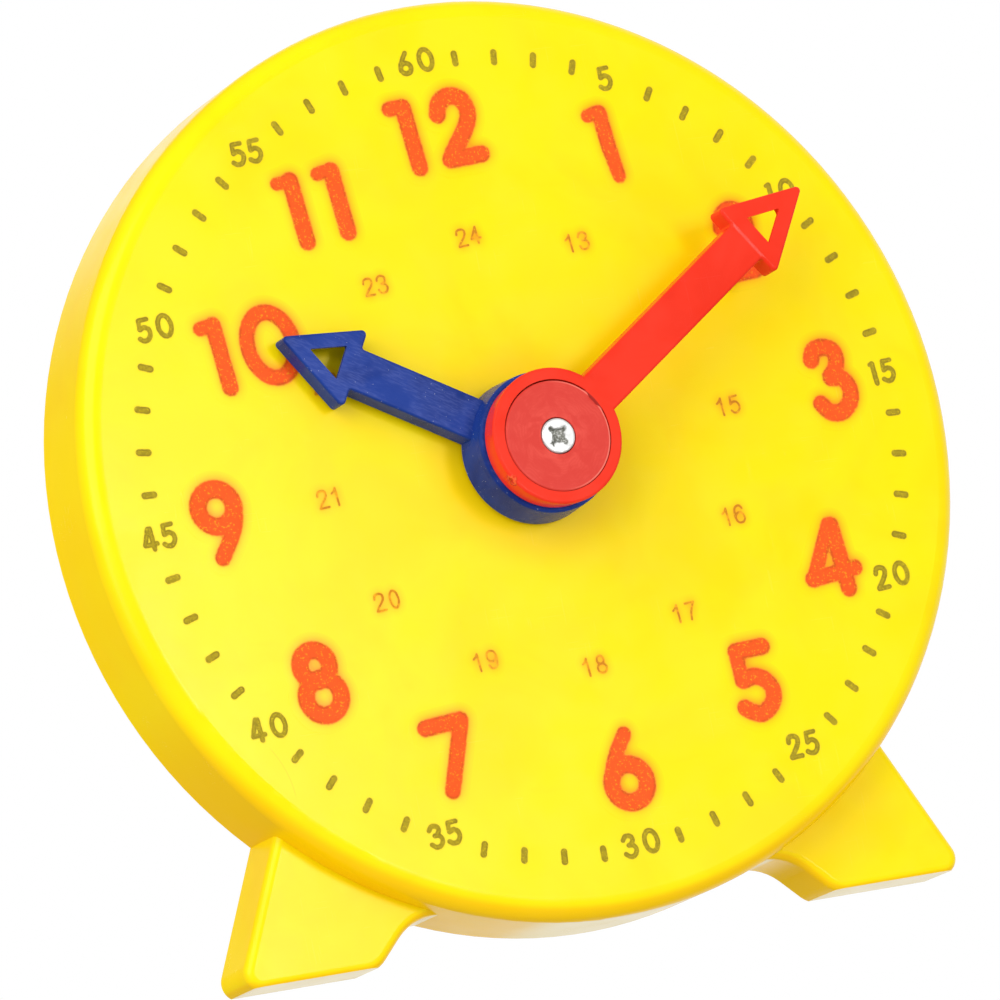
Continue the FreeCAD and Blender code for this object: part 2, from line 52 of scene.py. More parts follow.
import bpy
import numpy as np
from bpy.props import FloatProperty, FloatVectorProperty, PointerProperty
from mathutils import Vector, noise

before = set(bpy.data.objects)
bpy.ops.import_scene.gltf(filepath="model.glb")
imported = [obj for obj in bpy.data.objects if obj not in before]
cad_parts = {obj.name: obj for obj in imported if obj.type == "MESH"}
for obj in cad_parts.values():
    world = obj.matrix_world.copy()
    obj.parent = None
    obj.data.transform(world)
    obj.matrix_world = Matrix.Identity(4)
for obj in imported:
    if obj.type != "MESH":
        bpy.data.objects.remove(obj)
cad_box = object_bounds()

MM = 0.001

# The print lies on the flat of the dial. The collar round the centre stands above it by COLLAR_STANDS,
# and the minute arbor runs through its middle.
COLLAR_STANDS = 0.35 * MM
DIAL_Y = Vector(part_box("dial_case")[0]).y + COLLAR_STANDS
arbor_low, arbor_high = (Vector(corner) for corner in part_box("minute_arbor"))
CENTRE = Vector(((arbor_low.x + arbor_high.x) / 2, DIAL_Y, (arbor_low.z + arbor_high.z) / 2))

# The way to the middle of the white backdrop, and how bright the rest of the room is in a gloss
BACKDROP = (0.765, 0.632, 0.122)
BACKDROP_FADES, BACKDROP_FULL = 0.45, 0.75
ROOM = 0.05

# The camera of the photograph: its place, its turns about x, y and z in degrees, and the width in mm of
# the film that its lens is counted for
CAMERA_PLACE = Vector((-358.494, -779.294, -80.692)) * MM
CAMERA_TURN = (98.6425, 11.939, -22.685)
FILM_WIDE = 36.0

# Each lamp: name, place, what it points at, width and height, in metres
KEY_LAMP = ("key", (-0.68, -0.55, 0.50), (0.0, 0.0, 0.05), 0.8, 0.8)
FILL_LAMP = ("fill", (-0.60, -0.30, 0.06), (0.0, 0.0, 0.04), 0.3, 0.3)
SHEEN_LAMP = ("sheen", (0.22, -0.86, 0.08), (0.0, 0.0, 0.05), 0.14, 0.24)
FLOOR_GAP = 0.02 * MM

# Where the hands point at rest, in degrees clockwise from straight up
MINUTE_CLOCK = 56.0
HOUR_CLOCK = 300.1


def colour(name, about, default):
    return FloatVectorProperty(name=name, description=about, subtype="COLOR", size=3,
                               min=0.0, max=1.0, default=default)


def length(name, about, default):
    return FloatProperty(name=name, description=about, subtype="DISTANCE", unit="LENGTH",
                         min=0.0, default=default, precision=5)


class ClockPlastics(bpy.types.PropertyGroup):
    """Colours of the moulded pieces and of the metal."""
    yellow: colour("Yellow", "Case, feet and back cover", (0.985, 0.775, 0.0015))
    amber: colour("Amber", "Deeper yellow of thick places and of the flow lines", (0.98, 0.715, 0.001))
    # Painted shade: honey is the deeper yellow painted on the sides, the sloping undersides and round the
    # hub as if they lay in shade. It is also the colour of the scratch beside the 40.
    honey_shade_and_scratch: colour("Honey", "Deeper yellow of the sides, which light comes through", (0.985, 0.55, 0.0008))
    # Painted light: the pale colour of the flats underneath is a painted reflection of a white surface
    # below.
    underside_light_and_wear: colour("Rubbed", "Pale yellow of the flats underneath", (0.98, 0.94, 0.62))
    blue: colour("Blue", "Hour hand", (0.014, 0.045, 0.270))
    deep_blue: colour("Deep blue", "Blotches in the blue", (0.008, 0.028, 0.190))
    blue_scuff: colour("Blue scuff", "Rubbed marks on the blue", (0.090, 0.130, 0.42))
    red: colour("Red", "Minute hand", (0.86, 0.040, 0.018))
    deep_red: colour("Deep red", "Blotches in the red", (0.80, 0.030, 0.011))
    cap_red: colour("Cap red", "Disc in the middle of the minute hand", (0.66, 0.042, 0.028))
    cap_swirl: colour("Cap swirl", "Paler rings in the disc", (0.77, 0.080, 0.055))
    # Painted highlight: the pale line along the disc's edge.
    cap_edge_highlight: colour("Cap line", "Pale line along the edge of the disc", (0.95, 0.24, 0.18))
    # Painted shade: the dark red in the groove beside the scallop.
    cap_groove_shade: colour("Cap groove", "Dark groove beside the scallop", (0.36, 0.010, 0.005))
    gate_ring: colour("Gate ring", "Raised ring of the gate mark", (0.98, 0.22, 0.06))
    gate_pit: colour("Gate pit", "Pit of the gate mark", (0.45, 0.02, 0.01))
    dust: colour("Dust", "Pale specks on the blue", (0.62, 0.66, 0.72))
    ivory: colour("Ivory", "Wheels behind the dial", (0.80, 0.76, 0.66))
    zinc: colour("Zinc", "Plated screws", (0.93, 0.93, 0.91))
    grime: colour("Grime", "Worn metal and dirt in the cross of a screw", (0.26, 0.26, 0.22))


class ClockInks(bpy.types.PropertyGroup):
    """Colours and sizes of what is printed on the dial."""
    hour_ink: colour("Hour ink", "Large numbers 1 to 12", (0.97, 0.094, 0.006))
    hour_edge: colour("Hour edge", "Where the hour ink piles up along its edge", (0.66, 0.075, 0.002))
    hour_bleed: colour("Hour bleed", "Where the hour ink stains the plastic", (0.98, 0.36, 0.006))
    minute_ink: colour("Minute ink", "Numbers 5 to 60 and the strokes", (0.42, 0.31, 0.005))
    minute_edge: colour("Minute edge", "Dark specks of the minute ink", (0.25, 0.18, 0.003))
    day_ink: colour("Day ink", "Thin numbers 13 to 24", (0.56, 0.180, 0.001))
    day_bleed: colour("Day bleed", "Orange stain round the thin numbers", (0.97, 0.42, 0.003))
    twist: FloatProperty(name="Twist", description="Turn of the whole print on the case, anticlockwise",
                         subtype="ANGLE", unit="ROTATION", default=math.radians(4.4))
    film: length("Film", "How far the ink stands on the dial", 0.02 * MM)
    hour_reach: length("Hour stain", "How far the stain reaches round the hour numbers", 1.0 * MM)
    minute_reach: length("Minute stain", "How far the minute ink fades at its edge", 0.25 * MM)
    day_reach: length("Day stain", "How far the stain reaches round the thin numbers", 0.8 * MM)
    stroke_ring: length("Stroke ring", "Radius of the middle of the minute strokes", 43.5 * MM)
    stroke_long: length("Stroke length", "Length of one minute stroke", 1.8 * MM)
    stroke_wide: length("Stroke width", "Width of one minute stroke", 0.75 * MM)


class ClockStage(bpy.types.PropertyGroup):
    """Floor, lamps and camera."""
    floor_colour: colour("Floor", "Pale floor", (0.86, 0.86, 0.86))
    floor_reach: length("Floor reach", "Radius of the floor", 1.2)
    key_level: FloatProperty(name="Key", description="Power of the large lamp at the front left",
                             subtype="POWER", unit="POWER", min=0.0, default=4.7)
    sheen_level: FloatProperty(name="Sheen", description="Power of the small lamp that the dial mirrors",
                               subtype="POWER", unit="POWER", min=0.0, default=1.8)
    fill_level: FloatProperty(name="Fill lamp", description="Low lamp beside the left foot",
                              subtype="POWER", unit="POWER", min=0.0, default=0.45)
    sky_level: FloatProperty(name="Surround", description="Even light from all round", min=0.0,
                             default=0.73)
    lens: length("Lens", "Focal length of the camera, in mm on a 36 mm sensor", 293.915 * MM)


# Materials

class Recipe:
    """Lays out the nodes of one material, or of the world."""

    def __init__(self, name, kind="materials", out="ShaderNodeOutputMaterial"):
        self.owner = getattr(bpy.data, kind).new(name)
        self.owner.use_nodes = True
        self.tree = self.owner.node_tree
        self.tree.nodes.clear()
        self.out = self.add(out)
        self.coordinates = self.add("ShaderNodeTexCoord").outputs
        self.places = self.coordinates["Object"]

    def add(self, kind, sockets=None, **settings):
        node = self.tree.nodes.new(kind)
        for key, value in settings.items():
            setattr(node, key, value)
        for key, value in (sockets or {}).items():
            self.set(node.inputs[key], value)
        return node

    def set(self, socket, value):
        if isinstance(value, bpy.types.NodeSocket):
            self.tree.links.new(value, socket)
        elif socket.type == "RGBA":
            socket.default_value = (*tuple(value)[:3], 1.0)
        else:
            socket.default_value = value

    def math(self, operation, a, b=0.0, clamp=False):
        return self.add("ShaderNodeMath", {0: a, 1: b}, operation=operation, use_clamp=clamp).outputs[0]

    def vector(self, operation, a, b=(0.0, 0.0, 0.0), out="Vector"):
        return self.add("ShaderNodeVectorMath", {0: a, 1: b}, operation=operation).outputs[out]

    def gap_to(self, spot):
        return self.vector("DISTANCE", self.places, spot, out="Value")

    def off_centre(self):
        """Places counted from the middle of the dial."""
        return self.vector("SUBTRACT", self.places, CENTRE)

    def split(self, value):
        return self.add("ShaderNodeSeparateXYZ", {0: value}).outputs

    def facing(self):
        """The way that the surface faces, as x, y and z."""
        return self.split(self.add("ShaderNodeNewGeometry").outputs["Normal"])

    def stored(self, label):
        """What the mesh keeps at each corner under label."""
        return self.add("ShaderNodeAttribute", attribute_name=label).outputs["Fac"]

    def times(self, a, b, clamp=False):
        return self.math("MULTIPLY", a, b, clamp)

    def plus(self, a, b):
        return self.math("ADD", a, b)

    def laid_along(self, clock):
        """Places turned so that x runs out along a hand that points at clock, and z across it."""
        turn = math.radians(clock)
        off = self.off_centre()
        out, across, deep = [
            self.vector("DOT_PRODUCT", off, way, out="Value")
            for way in ((math.sin(turn), 0.0, math.cos(turn)), (math.cos(turn), 0.0, -math.sin(turn)),
                        (0.0, 1.0, 0.0))]
        return self.add("ShaderNodeCombineXYZ", {0: out, 1: deep, 2: across}).outputs[0]

    def noise(self, grain, detail=2.0, stretch=None, shift=(0.0, 0.0, 0.0), roughness=0.5, warp=0.0,
              where=None):
        """Cloudy noise whose blotches are about grain metres across."""
        where = where or self.places
        if stretch or any(shift):
            where = self.add("ShaderNodeMapping", {"Vector": where, "Location": shift,
                                                   "Scale": stretch or (1.0, 1.0, 1.0)}).outputs[0]
        return self.add("ShaderNodeTexNoise", {"Vector": where, "Scale": 1.0 / grain, "Detail": detail,
                                               "Roughness": roughness, "Distortion": warp}).outputs["Fac"]

    def band(self, value, low, high, to_low=0.0, to_high=1.0, smooth=True):
        """Maps low..high of a value to to_low..to_high, held at both ends."""
        return self.add("ShaderNodeMapRange", {"Value": value, "From Min": low, "From Max": high,
                                               "To Min": to_low, "To Max": to_high},
                        interpolation_type="SMOOTHSTEP" if smooth else "LINEAR").outputs[0]

    def within(self, value, low, low_end, high_start, high):
        """1 between low_end and high_start, easing to 0 at low and high."""
        return self.times(self.band(value, low, low_end), self.band(value, high_start, high, 1.0, 0.0))

    def mix(self, share, a, b):
        node = self.add("ShaderNodeMix", data_type="RGBA")
        self.set(node.inputs[0], share)
        self.set(node.inputs[6], a)
        self.set(node.inputs[7], b)
        return node.outputs[2]

    def tint(self, base, share, level, colour):
        """Base with colour over it where share is 1, at level at most."""
        return self.mix(self.times(share, level), base, colour)

    def bump(self, height, depth, under=None):
        sockets = {"Strength": 1.0, "Distance": depth, "Height": height}
        if under is not None:
            sockets["Normal"] = under
        return self.add("ShaderNodeBump", sockets).outputs[0]

    def finish(self, base, rough, normal, **levels):
        """The shader itself. Levels that are the same all over are set on its own sockets."""
        shader = self.add("ShaderNodeBsdfPrincipled",
                          {"Base Color": base, "Roughness": rough, "Normal": normal})
        for key, value in levels.items():
            self.set(shader.inputs[key.replace("_", " ")], value)
        self.tree.links.new(shader.outputs[0], self.out.inputs["Surface"])
        return self.owner


def moulded(recipe, light, deep, cloud=14 * MM, rough=0.22, marks=0.5):
    """Base colour, roughness and normal of a glossy moulding: slow colour drift along the flow of the
    plastic, orange-peel waviness, fine grain, hair scratches and dust specks."""
    drift = recipe.noise(cloud, detail=3.0, warp=0.6)
    base = recipe.mix(recipe.band(drift, 0.38, 0.72), light, deep)
    streak = recipe.noise(1.6 * MM, stretch=(0.25, 1.0, 1.0), warp=0.4)
    base = recipe.mix(recipe.band(streak, 0.60, 0.80, 0.0, 0.20), base, deep)
    speck = recipe.noise(0.32 * MM, detail=1.0, shift=(0.013, 0.002, 0.031))
    speck = recipe.band(speck, 0.765, 0.80)
    base = recipe.tint(base, speck, 0.35 * marks, deep)
    hair = [recipe.noise(0.16 * MM, detail=0.0, stretch=stretch, shift=shift) for stretch, shift in
            (((1.0, 1.0, 0.03), (0.0, 0.0, 0.02)), ((0.035, 1.0, 1.0), (0.01, 0.0, 0.0)))]
    hair = recipe.math("MAXIMUM", *[recipe.band(h, 0.735, 0.80) for h in hair])
    underside_light_and_wear = recipe.noise(9 * MM, shift=(0.05, 0.0, 0.0))
    hair = recipe.times(hair, recipe.band(underside_light_and_wear, 0.50, 0.66))
    haze = recipe.times(hair, 0.12 * marks)
    wave = recipe.noise(3.4 * MM, detail=1.0)
    grain = recipe.noise(0.22 * MM)
    roughness = recipe.band(recipe.noise(5 * MM, detail=3.0, shift=(0.0, 0.02, 0.0)), 0.3, 0.7,
                            rough - 0.03, rough + 0.04)
    roughness = recipe.plus(roughness, haze)
    normal = recipe.bump(wave, 0.012 * MM)
    normal = recipe.bump(grain, 0.0012 * MM, normal)
    normal = recipe.bump(hair, 0.004 * marks * MM, normal)
    return base, roughness, normal


def plain_plastic(name, light, deep, cloud, rough, gloss):
    recipe = Recipe(name)
    base, rough, normal = moulded(recipe, light, deep, cloud=cloud, rough=rough)
    return recipe.finish(base, rough, normal, **gloss)


def put_on(node, material):
    """Gives every slot of a CAD node the finished material."""
    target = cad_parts[node]
    for place in target.material_slots:
        place.material = material
    if not target.material_slots:
        target.data.materials.append(material)


# How strongly each plastic mirrors
YELLOW_GLOSS = {"IOR": 1.49, "Specular_IOR_Level": 0.20}
BLUE_GLOSS = {"IOR": 1.46, "Specular_IOR_Level": 0.08}
RED_GLOSS = {"IOR": 1.46, "Specular_IOR_Level": 0.10}
CAP_GLOSS = {"IOR": 1.46, "Specular_IOR_Level": 0.18}
IVORY_GLOSS = {"IOR": 1.5, "Specular_IOR_Level": 0.5}

# The hair of a scratch beside the 40, from the dial's centre: it ends at z LOW and HIGH, and bows out
# from x SCRATCH_X, where it is lowest
SCRATCH_X = -34.25 * MM
SCRATCH_LOW, SCRATCH_HIGH = -32.45 * MM, -27.0 * MM
SCRATCH_BOW = 0.0574 / MM

# From the dial's centre: where the red arm has its crease, and the gate mark on its boss
CREASE = 32.0 * MM
GATE_MARK = Vector((-6.25, -7.65, -4.0)) * MM

# From one mould ring to the next on the red disc
RING_PITCH = 0.36 * MM


def yellow_plastic(plastics):
    """Yellow of the case. Painted shade turns it deeper on its sides, its sloping undersides and round the
    hub, a painted pale reflection lies on the flats it stands on, and it has one fine hair of a scratch
    beside the 40."""
    recipe = Recipe("yellow_plastic")
    base, rough, normal = moulded(recipe, plastics.yellow, plastics.amber)
    _, y, z = recipe.facing()
    down = recipe.times(z, -1.0)
    # Painted shade: sides and sloping undersides turn deeper yellow, as they look in shade.
    side = recipe.band(y, -0.95, -0.25, 0.0, 0.32)
    sloping_shade = recipe.band(down, 0.25, 0.6, 0.0, 0.75)
    base = recipe.mix(recipe.math("MAXIMUM", side, sloping_shade), base, plastics.honey_shade_and_scratch)
    # Painted light: flats facing straight down turn pale, a painted reflection of a white surface below.
    base = recipe.mix(recipe.band(down, 0.975, 0.995, 0.0, 0.62), base, plastics.underside_light_and_wear)
    off = recipe.off_centre()
    # Painted shade: a ring of deeper yellow round the hub.
    round_hub = recipe.vector("LENGTH", recipe.vector("MULTIPLY", off, (1.0, 0.0, 1.0)), out="Value")
    base = recipe.mix(recipe.band(round_hub, 9.0 * MM, 13.5 * MM, 0.45, 0.0), base, plastics.honey_shade_and_scratch)
    x, _, z = recipe.split(off)
    bow = recipe.math("POWER", recipe.plus(z, -SCRATCH_LOW), 2.0)
    bow = recipe.plus(recipe.times(bow, SCRATCH_BOW), -SCRATCH_X)
    astray = recipe.math("ABSOLUTE", recipe.plus(x, bow))
    hair = recipe.times(recipe.band(astray, 0.02 * MM, 0.08 * MM, 0.42, 0.0),
                        recipe.within(z, SCRATCH_LOW - 0.35 * MM, SCRATCH_LOW + 0.65 * MM,
                                      SCRATCH_HIGH - 0.4 * MM, SCRATCH_HIGH + 0.3 * MM))
    base = recipe.mix(hair, base, plastics.honey_shade_and_scratch)
    return recipe.finish(base, rough, normal, **YELLOW_GLOSS)


def blue_plastic(plastics):
    """Glossy blue with long scuffs worn into its front and pale dust specks."""
    recipe = Recipe("blue_plastic")
    base, rough, normal = moulded(recipe, plastics.blue, plastics.deep_blue, cloud=5 * MM, rough=0.26,
                                  marks=1.0)
    hand = recipe.laid_along(HOUR_CLOCK)
    rub = recipe.noise(0.15 * MM, detail=4.0, stretch=(0.16, 1.0, 1.0), where=hand, warp=0.3)
    patch = recipe.noise(2.6 * MM, detail=3.0, stretch=(0.5, 1.0, 1.0), where=hand, warp=0.8)
    front = recipe.band(recipe.facing()["Y"], -0.98, -0.80, 1.0, 0.0)
    patch = recipe.times(recipe.band(patch, 0.36, 0.64, 0.10, 1.0), front)
    rub = recipe.times(recipe.band(rub, 0.40, 0.72), patch)
    base = recipe.tint(base, patch, 0.16, plastics.blue_scuff)
    base = recipe.tint(base, rub, 0.40, plastics.blue_scuff)
    dust = recipe.band(recipe.noise(0.16 * MM, detail=0.0, shift=(0.02, 0.01, 0.0)), 0.815, 0.85)
    base = recipe.tint(base, dust, 0.65, plastics.dust)
    rough = recipe.plus(rough, recipe.times(rub, 0.10))
    normal = recipe.bump(rub, 0.004 * MM, normal)
    return recipe.finish(base, rough, normal, **BLUE_GLOSS)


def red_plastic(plastics):
    """Glossy red with a crease where the arrow head begins and a gate mark on the boss."""
    recipe = Recipe("red_plastic")
    base, rough, normal = moulded(recipe, plastics.red, plastics.deep_red, cloud=8 * MM)
    out = recipe.split(recipe.laid_along(MINUTE_CLOCK))["X"]
    normal = recipe.bump(recipe.band(out, CREASE, CREASE + 0.5 * MM), 0.05 * MM, normal)
    gap = recipe.gap_to(CENTRE + GATE_MARK)
    shaken = recipe.band(recipe.noise(0.5 * MM), 0.3, 0.7, -0.12 * MM, 0.12 * MM)
    gap = recipe.plus(gap, shaken)
    ring = recipe.within(gap, 0.30 * MM, 0.52 * MM, 0.55 * MM, 0.78 * MM)
    pit = recipe.band(gap, 0.10 * MM, 0.42 * MM, 1.0, 0.0)
    normal = recipe.bump(recipe.math("SUBTRACT", ring, pit), 0.12 * MM, normal)
    base = recipe.tint(base, ring, 0.45, plastics.gate_ring)
    base = recipe.tint(base, pit, 0.55, plastics.gate_pit)
    return recipe.finish(base, rough, normal, **RED_GLOSS)


def cap_plastic(plastics):
    """Softer red disc with faint rings from the mould and a cloudy bloom round the screw. A pale line along
    its right edge is a painted highlight, and the dark red in the groove beside the scallop is painted
    shade."""
    recipe = Recipe("cap_plastic")
    base, rough, normal = moulded(recipe, plastics.cap_red, plastics.cap_red, cloud=3 * MM, rough=0.36)
    x, _, z = recipe.split(recipe.off_centre())
    out = recipe.math("SQRT", recipe.plus(recipe.times(x, x), recipe.times(z, z)))
    shaken = recipe.band(recipe.noise(1.8 * MM, detail=3.0), 0.3, 0.7, -0.30 * MM, 0.30 * MM)
    rings = recipe.times(recipe.plus(out, shaken), math.pi / RING_PITCH)
    rings = recipe.math("ABSOLUTE", recipe.math("SINE", rings))
    clouds = recipe.band(recipe.noise(2.0 * MM, detail=3.0, warp=1.2), 0.38, 0.66)
    swirl = recipe.times(recipe.band(rings, 0.45, 1.0, 0.15, 0.38), clouds)
    base = recipe.mix(swirl, base, plastics.cap_swirl)
    bloom = recipe.band(out, 2.0 * MM, 4.6 * MM, 0.55, 0.0)
    base = recipe.tint(base, bloom, clouds, plastics.cap_swirl)
    normal = recipe.bump(rings, 0.0022 * MM, normal)
    # Painted highlight: a pale line along the right part of the disc's edge.
    edge = recipe.within(out, 5.72 * MM, 5.82 * MM, 5.88 * MM, 5.97 * MM)
    base = recipe.tint(base, edge, recipe.band(x, -1.0 * MM, 4.0 * MM, 0.0, 0.75), plastics.cap_edge_highlight)
    # Painted shade: dark red in the groove beside the scallop and on the screw's seat.
    base = recipe.mix(recipe.band(recipe.stored("in_groove"), 0.35, 0.75), base, plastics.cap_groove_shade)
    return recipe.finish(base, rough, normal, **CAP_GLOSS)


def zinc_plate(plastics):
    """Bright zinc with clouds, fine scratches and grey dirt in the cross."""
    recipe = Recipe("zinc_plate")
    cloud = recipe.noise(0.6 * MM, detail=4.0, warp=0.5)
    dull = [v * 0.84 for v in plastics.zinc]
    base = recipe.mix(recipe.band(cloud, 0.42, 0.68), plastics.zinc, dull)
    patchy = recipe.band(recipe.noise(0.22 * MM, detail=3.0), 0.36, 0.56, 0.35, 1.0)
    dirt = recipe.times(recipe.band(recipe.stored("in_cross"), 0.10, 0.40), patchy)
    base = recipe.mix(dirt, base, plastics.grime)
    rough = recipe.band(recipe.noise(0.35 * MM, detail=3.0), 0.3, 0.7, 0.36, 0.48)
    normal = recipe.bump(recipe.noise(0.12 * MM, detail=3.0), 0.003 * MM)
    torn = recipe.times(dirt, 0.05 * MM)
    normal = recipe.bump(recipe.noise(0.16 * MM), torn, normal)
    return recipe.finish(base, rough, normal, Metallic=0.5)


# The print on the dial

# Grids that the outlines are marched on, in mm, and how much of the full height the lower films have
COARSE_GRID, FINE_GRID = 0.22, 0.1
MINUTE_FILM, DAY_FILM = 0.8, 0.6

# Each stroke is a half width and its middle line, in mm on the print, x to the right of the dial's
# centre and z above it. A "bend" is rounded off through its points and a "run" keeps its corners.
HOUR_STROKES = [
    # 12
    ("run", 0.97, [(-2.97, 32.45), (-2.97, 39.2)]), ("run", 0.85, [(-4.6, 39.3), (-3.0, 39.3)]),
    ("bend", 0.98, [(0.72, 37.65), (1.25, 38.85), (2.55, 39.42), (3.85, 38.85), (4.25, 37.55), (3.9, 36.3),
                    (2.9, 35.0), (1.6, 33.6), (0.75, 32.6)]), ("run", 0.95, [(0.75, 32.58), (4.5, 32.55)]),
    # 1
    ("run", (0.8, 0.93, 0.93), [(19.5, 27.1), (19.25, 30.5), (19.25, 34.25)]),
    ("run", 0.75, [(17.8, 34.2), (18.9, 34.4)]),
    # 2
    ("bend", 0.98, [(29.48, 19.19), (29.93, 20.42), (31.03, 21.01), (32.13, 20.42), (32.47, 19.09),
                    (32.17, 17.8), (31.33, 16.47), (30.23, 15.03), (29.51, 14.0)]),
    ("run", 0.95, [(29.51, 13.98), (32.1, 13.95)]),
    # 3
    ("bend", 0.98, [(35.45, 3.0), (36.0, 3.9), (37.1, 4.1), (38.2, 3.6), (38.45, 2.6), (38.0, 1.5),
                    (37.15, 0.75)]),
    ("bend", 0.98, [(37.15, 0.65), (38.3, 0.4), (39.0, -0.7), (38.7, -2.2), (37.4, -3.2), (36.0, -3.0),
                    (35.15, -1.9)]),
    # 4
    ("run", 0.85, [(31.8, -14.8), (28.3, -20.3)]), ("run", 0.9, [(28.2, -20.2), (33.5, -20.0)]),
    ("run", 0.98, [(32.1, -14.95), (32.1, -22.0)]),
    # 5
    ("run", 0.95, [(16.9, -25.8), (20.1, -25.9)]), ("run", 0.87, [(16.9, -25.8), (16.7, -29.0)]),
    ("bend", 0.95, [(16.85, -29.0), (18.2, -28.8), (19.4, -29.5), (19.95, -30.8), (19.4, -32.1),
                    (18.0, -32.9), (16.9, -32.5), (16.15, -31.9)]),
    # 6
    ("bend", 0.85, [(1.55, -31.5), (0.3, -33.0), (-0.9, -34.9), (-1.4, -36.6)]),
    ("ring", 1.0, (0.6, -36.7, 2.05, 2.05)),
    # 7
    ("run", 0.92, [(-20.4, -25.95), (-16.2, -25.9)]), ("run", 0.9, [(-16.2, -26.0), (-19.3, -33.0)]),
    # 8
    ("ring", 0.98, (-30.55, -16.8, 1.65, 1.65)), ("ring", 0.98, (-30.5, -20.2, 1.97, 1.97)),
    # 9
    ("ring", 1.0, (-36.4, 1.7, 2.0, 2.0)),
    ("bend", 0.88, [(-34.4, 1.7), (-34.55, 0.4), (-35.3, -1.2), (-37.2, -3.6)]),
    # 10
    ("run", 0.93, [(-31.07, 13.75), (-31.07, 20.6)]), ("run", 0.8, [(-32.6, 20.5), (-31.2, 20.6)]),
    ("ring", 0.89, (-25.3, 17.25, 2.6, 3.57)),
    # 11
    ("run", 0.97, [(-17.97, 27.2), (-17.97, 33.95)]), ("run", 0.72, [(-19.6, 33.9), (-18.2, 34.0)]),
    ("run", 0.98, [(-13.1, 27.3), (-13.1, 34.1)]), ("run", 0.76, [(-14.75, 34.05), (-13.4, 34.2)]),
]

# Bold round figures of the minute numbers, 2.8 mm high, about their own middle
MINUTE_FIGURES = {
    "0": [("ring", 0.28, (0.0, 0.0, 0.73, 1.12))],
    "1": [("run", 0.31, [(0.12, 1.08), (0.12, -1.1)]), ("run", 0.22, [(-0.22, 1.02), (0.05, 1.15)])],
    "2": [("bend", 0.29, [(-0.55, 0.55), (-0.42, 1.0), (0.03, 1.13), (0.5, 0.88), (0.5, 0.35), (0.1, -0.25),
                          (-0.62, -1.05)]), ("run", 0.27, [(-0.62, -1.13), (0.62, -1.13)])],
    "3": [("bend", 0.27, [(-0.6, 0.75), (-0.2, 1.12), (0.35, 1.0), (0.5, 0.6), (0.2, 0.18), (-0.1, 0.1)]),
          ("bend", 0.27, [(-0.1, 0.1), (0.4, 0.0), (0.65, -0.5), (0.35, -1.02), (-0.2, -1.13),
                          (-0.68, -0.75)])],
    "4": [("run", 0.27, [(0.05, 1.1), (-0.65, -0.55)]), ("run", 0.27, [(-0.65, -0.6), (0.7, -0.6)]),
          ("run", 0.28, [(0.27, 1.05), (0.27, -1.15)])],
    "5": [("run", 0.26, [(-0.3, 1.1), (0.58, 1.1)]), ("run", 0.26, [(-0.35, 1.1), (-0.45, 0.15)]),
          ("bend", 0.28, [(-0.42, 0.12), (0.1, 0.28), (0.55, -0.05), (0.58, -0.6), (0.2, -1.08),
                          (-0.3, -1.12), (-0.68, -0.85)])],
    "6": [("bend", 0.27, [(0.35, 1.13), (-0.1, 0.55), (-0.5, -0.1), (-0.6, -0.5)]),
          ("ring", 0.29, (0.0, -0.53, 0.6, 0.58))],
}
MINUTE_NUMBERS = [
    ("6", -1.3, 43.8), ("0", 1.2, 43.8), ("5", 21.05, 37.85), ("1", 36.35, 21.62), ("0", 38.47, 21.7),
    ("1", 42.3, 0.05), ("5", 44.05, 0.05), ("2", 36.25, -21.75), ("0", 38.65, -21.75),
    ("2", 20.5, -37.15), ("5", 22.55, -37.15), ("3", -1.4, -43.15), ("0", 1.15, -43.15),
    ("3", -22.6, -37.2), ("5", -20.55, -37.2), ("4", -38.75, -21.95), ("0", -36.3, -21.95),
    ("4", -44.55, 0.05), ("5", -42.4, 0.05), ("5", -38.75, 21.65), ("0", -36.35, 21.65),
    ("5", -22.95, 37.9), ("5", -20.95, 37.9),
]

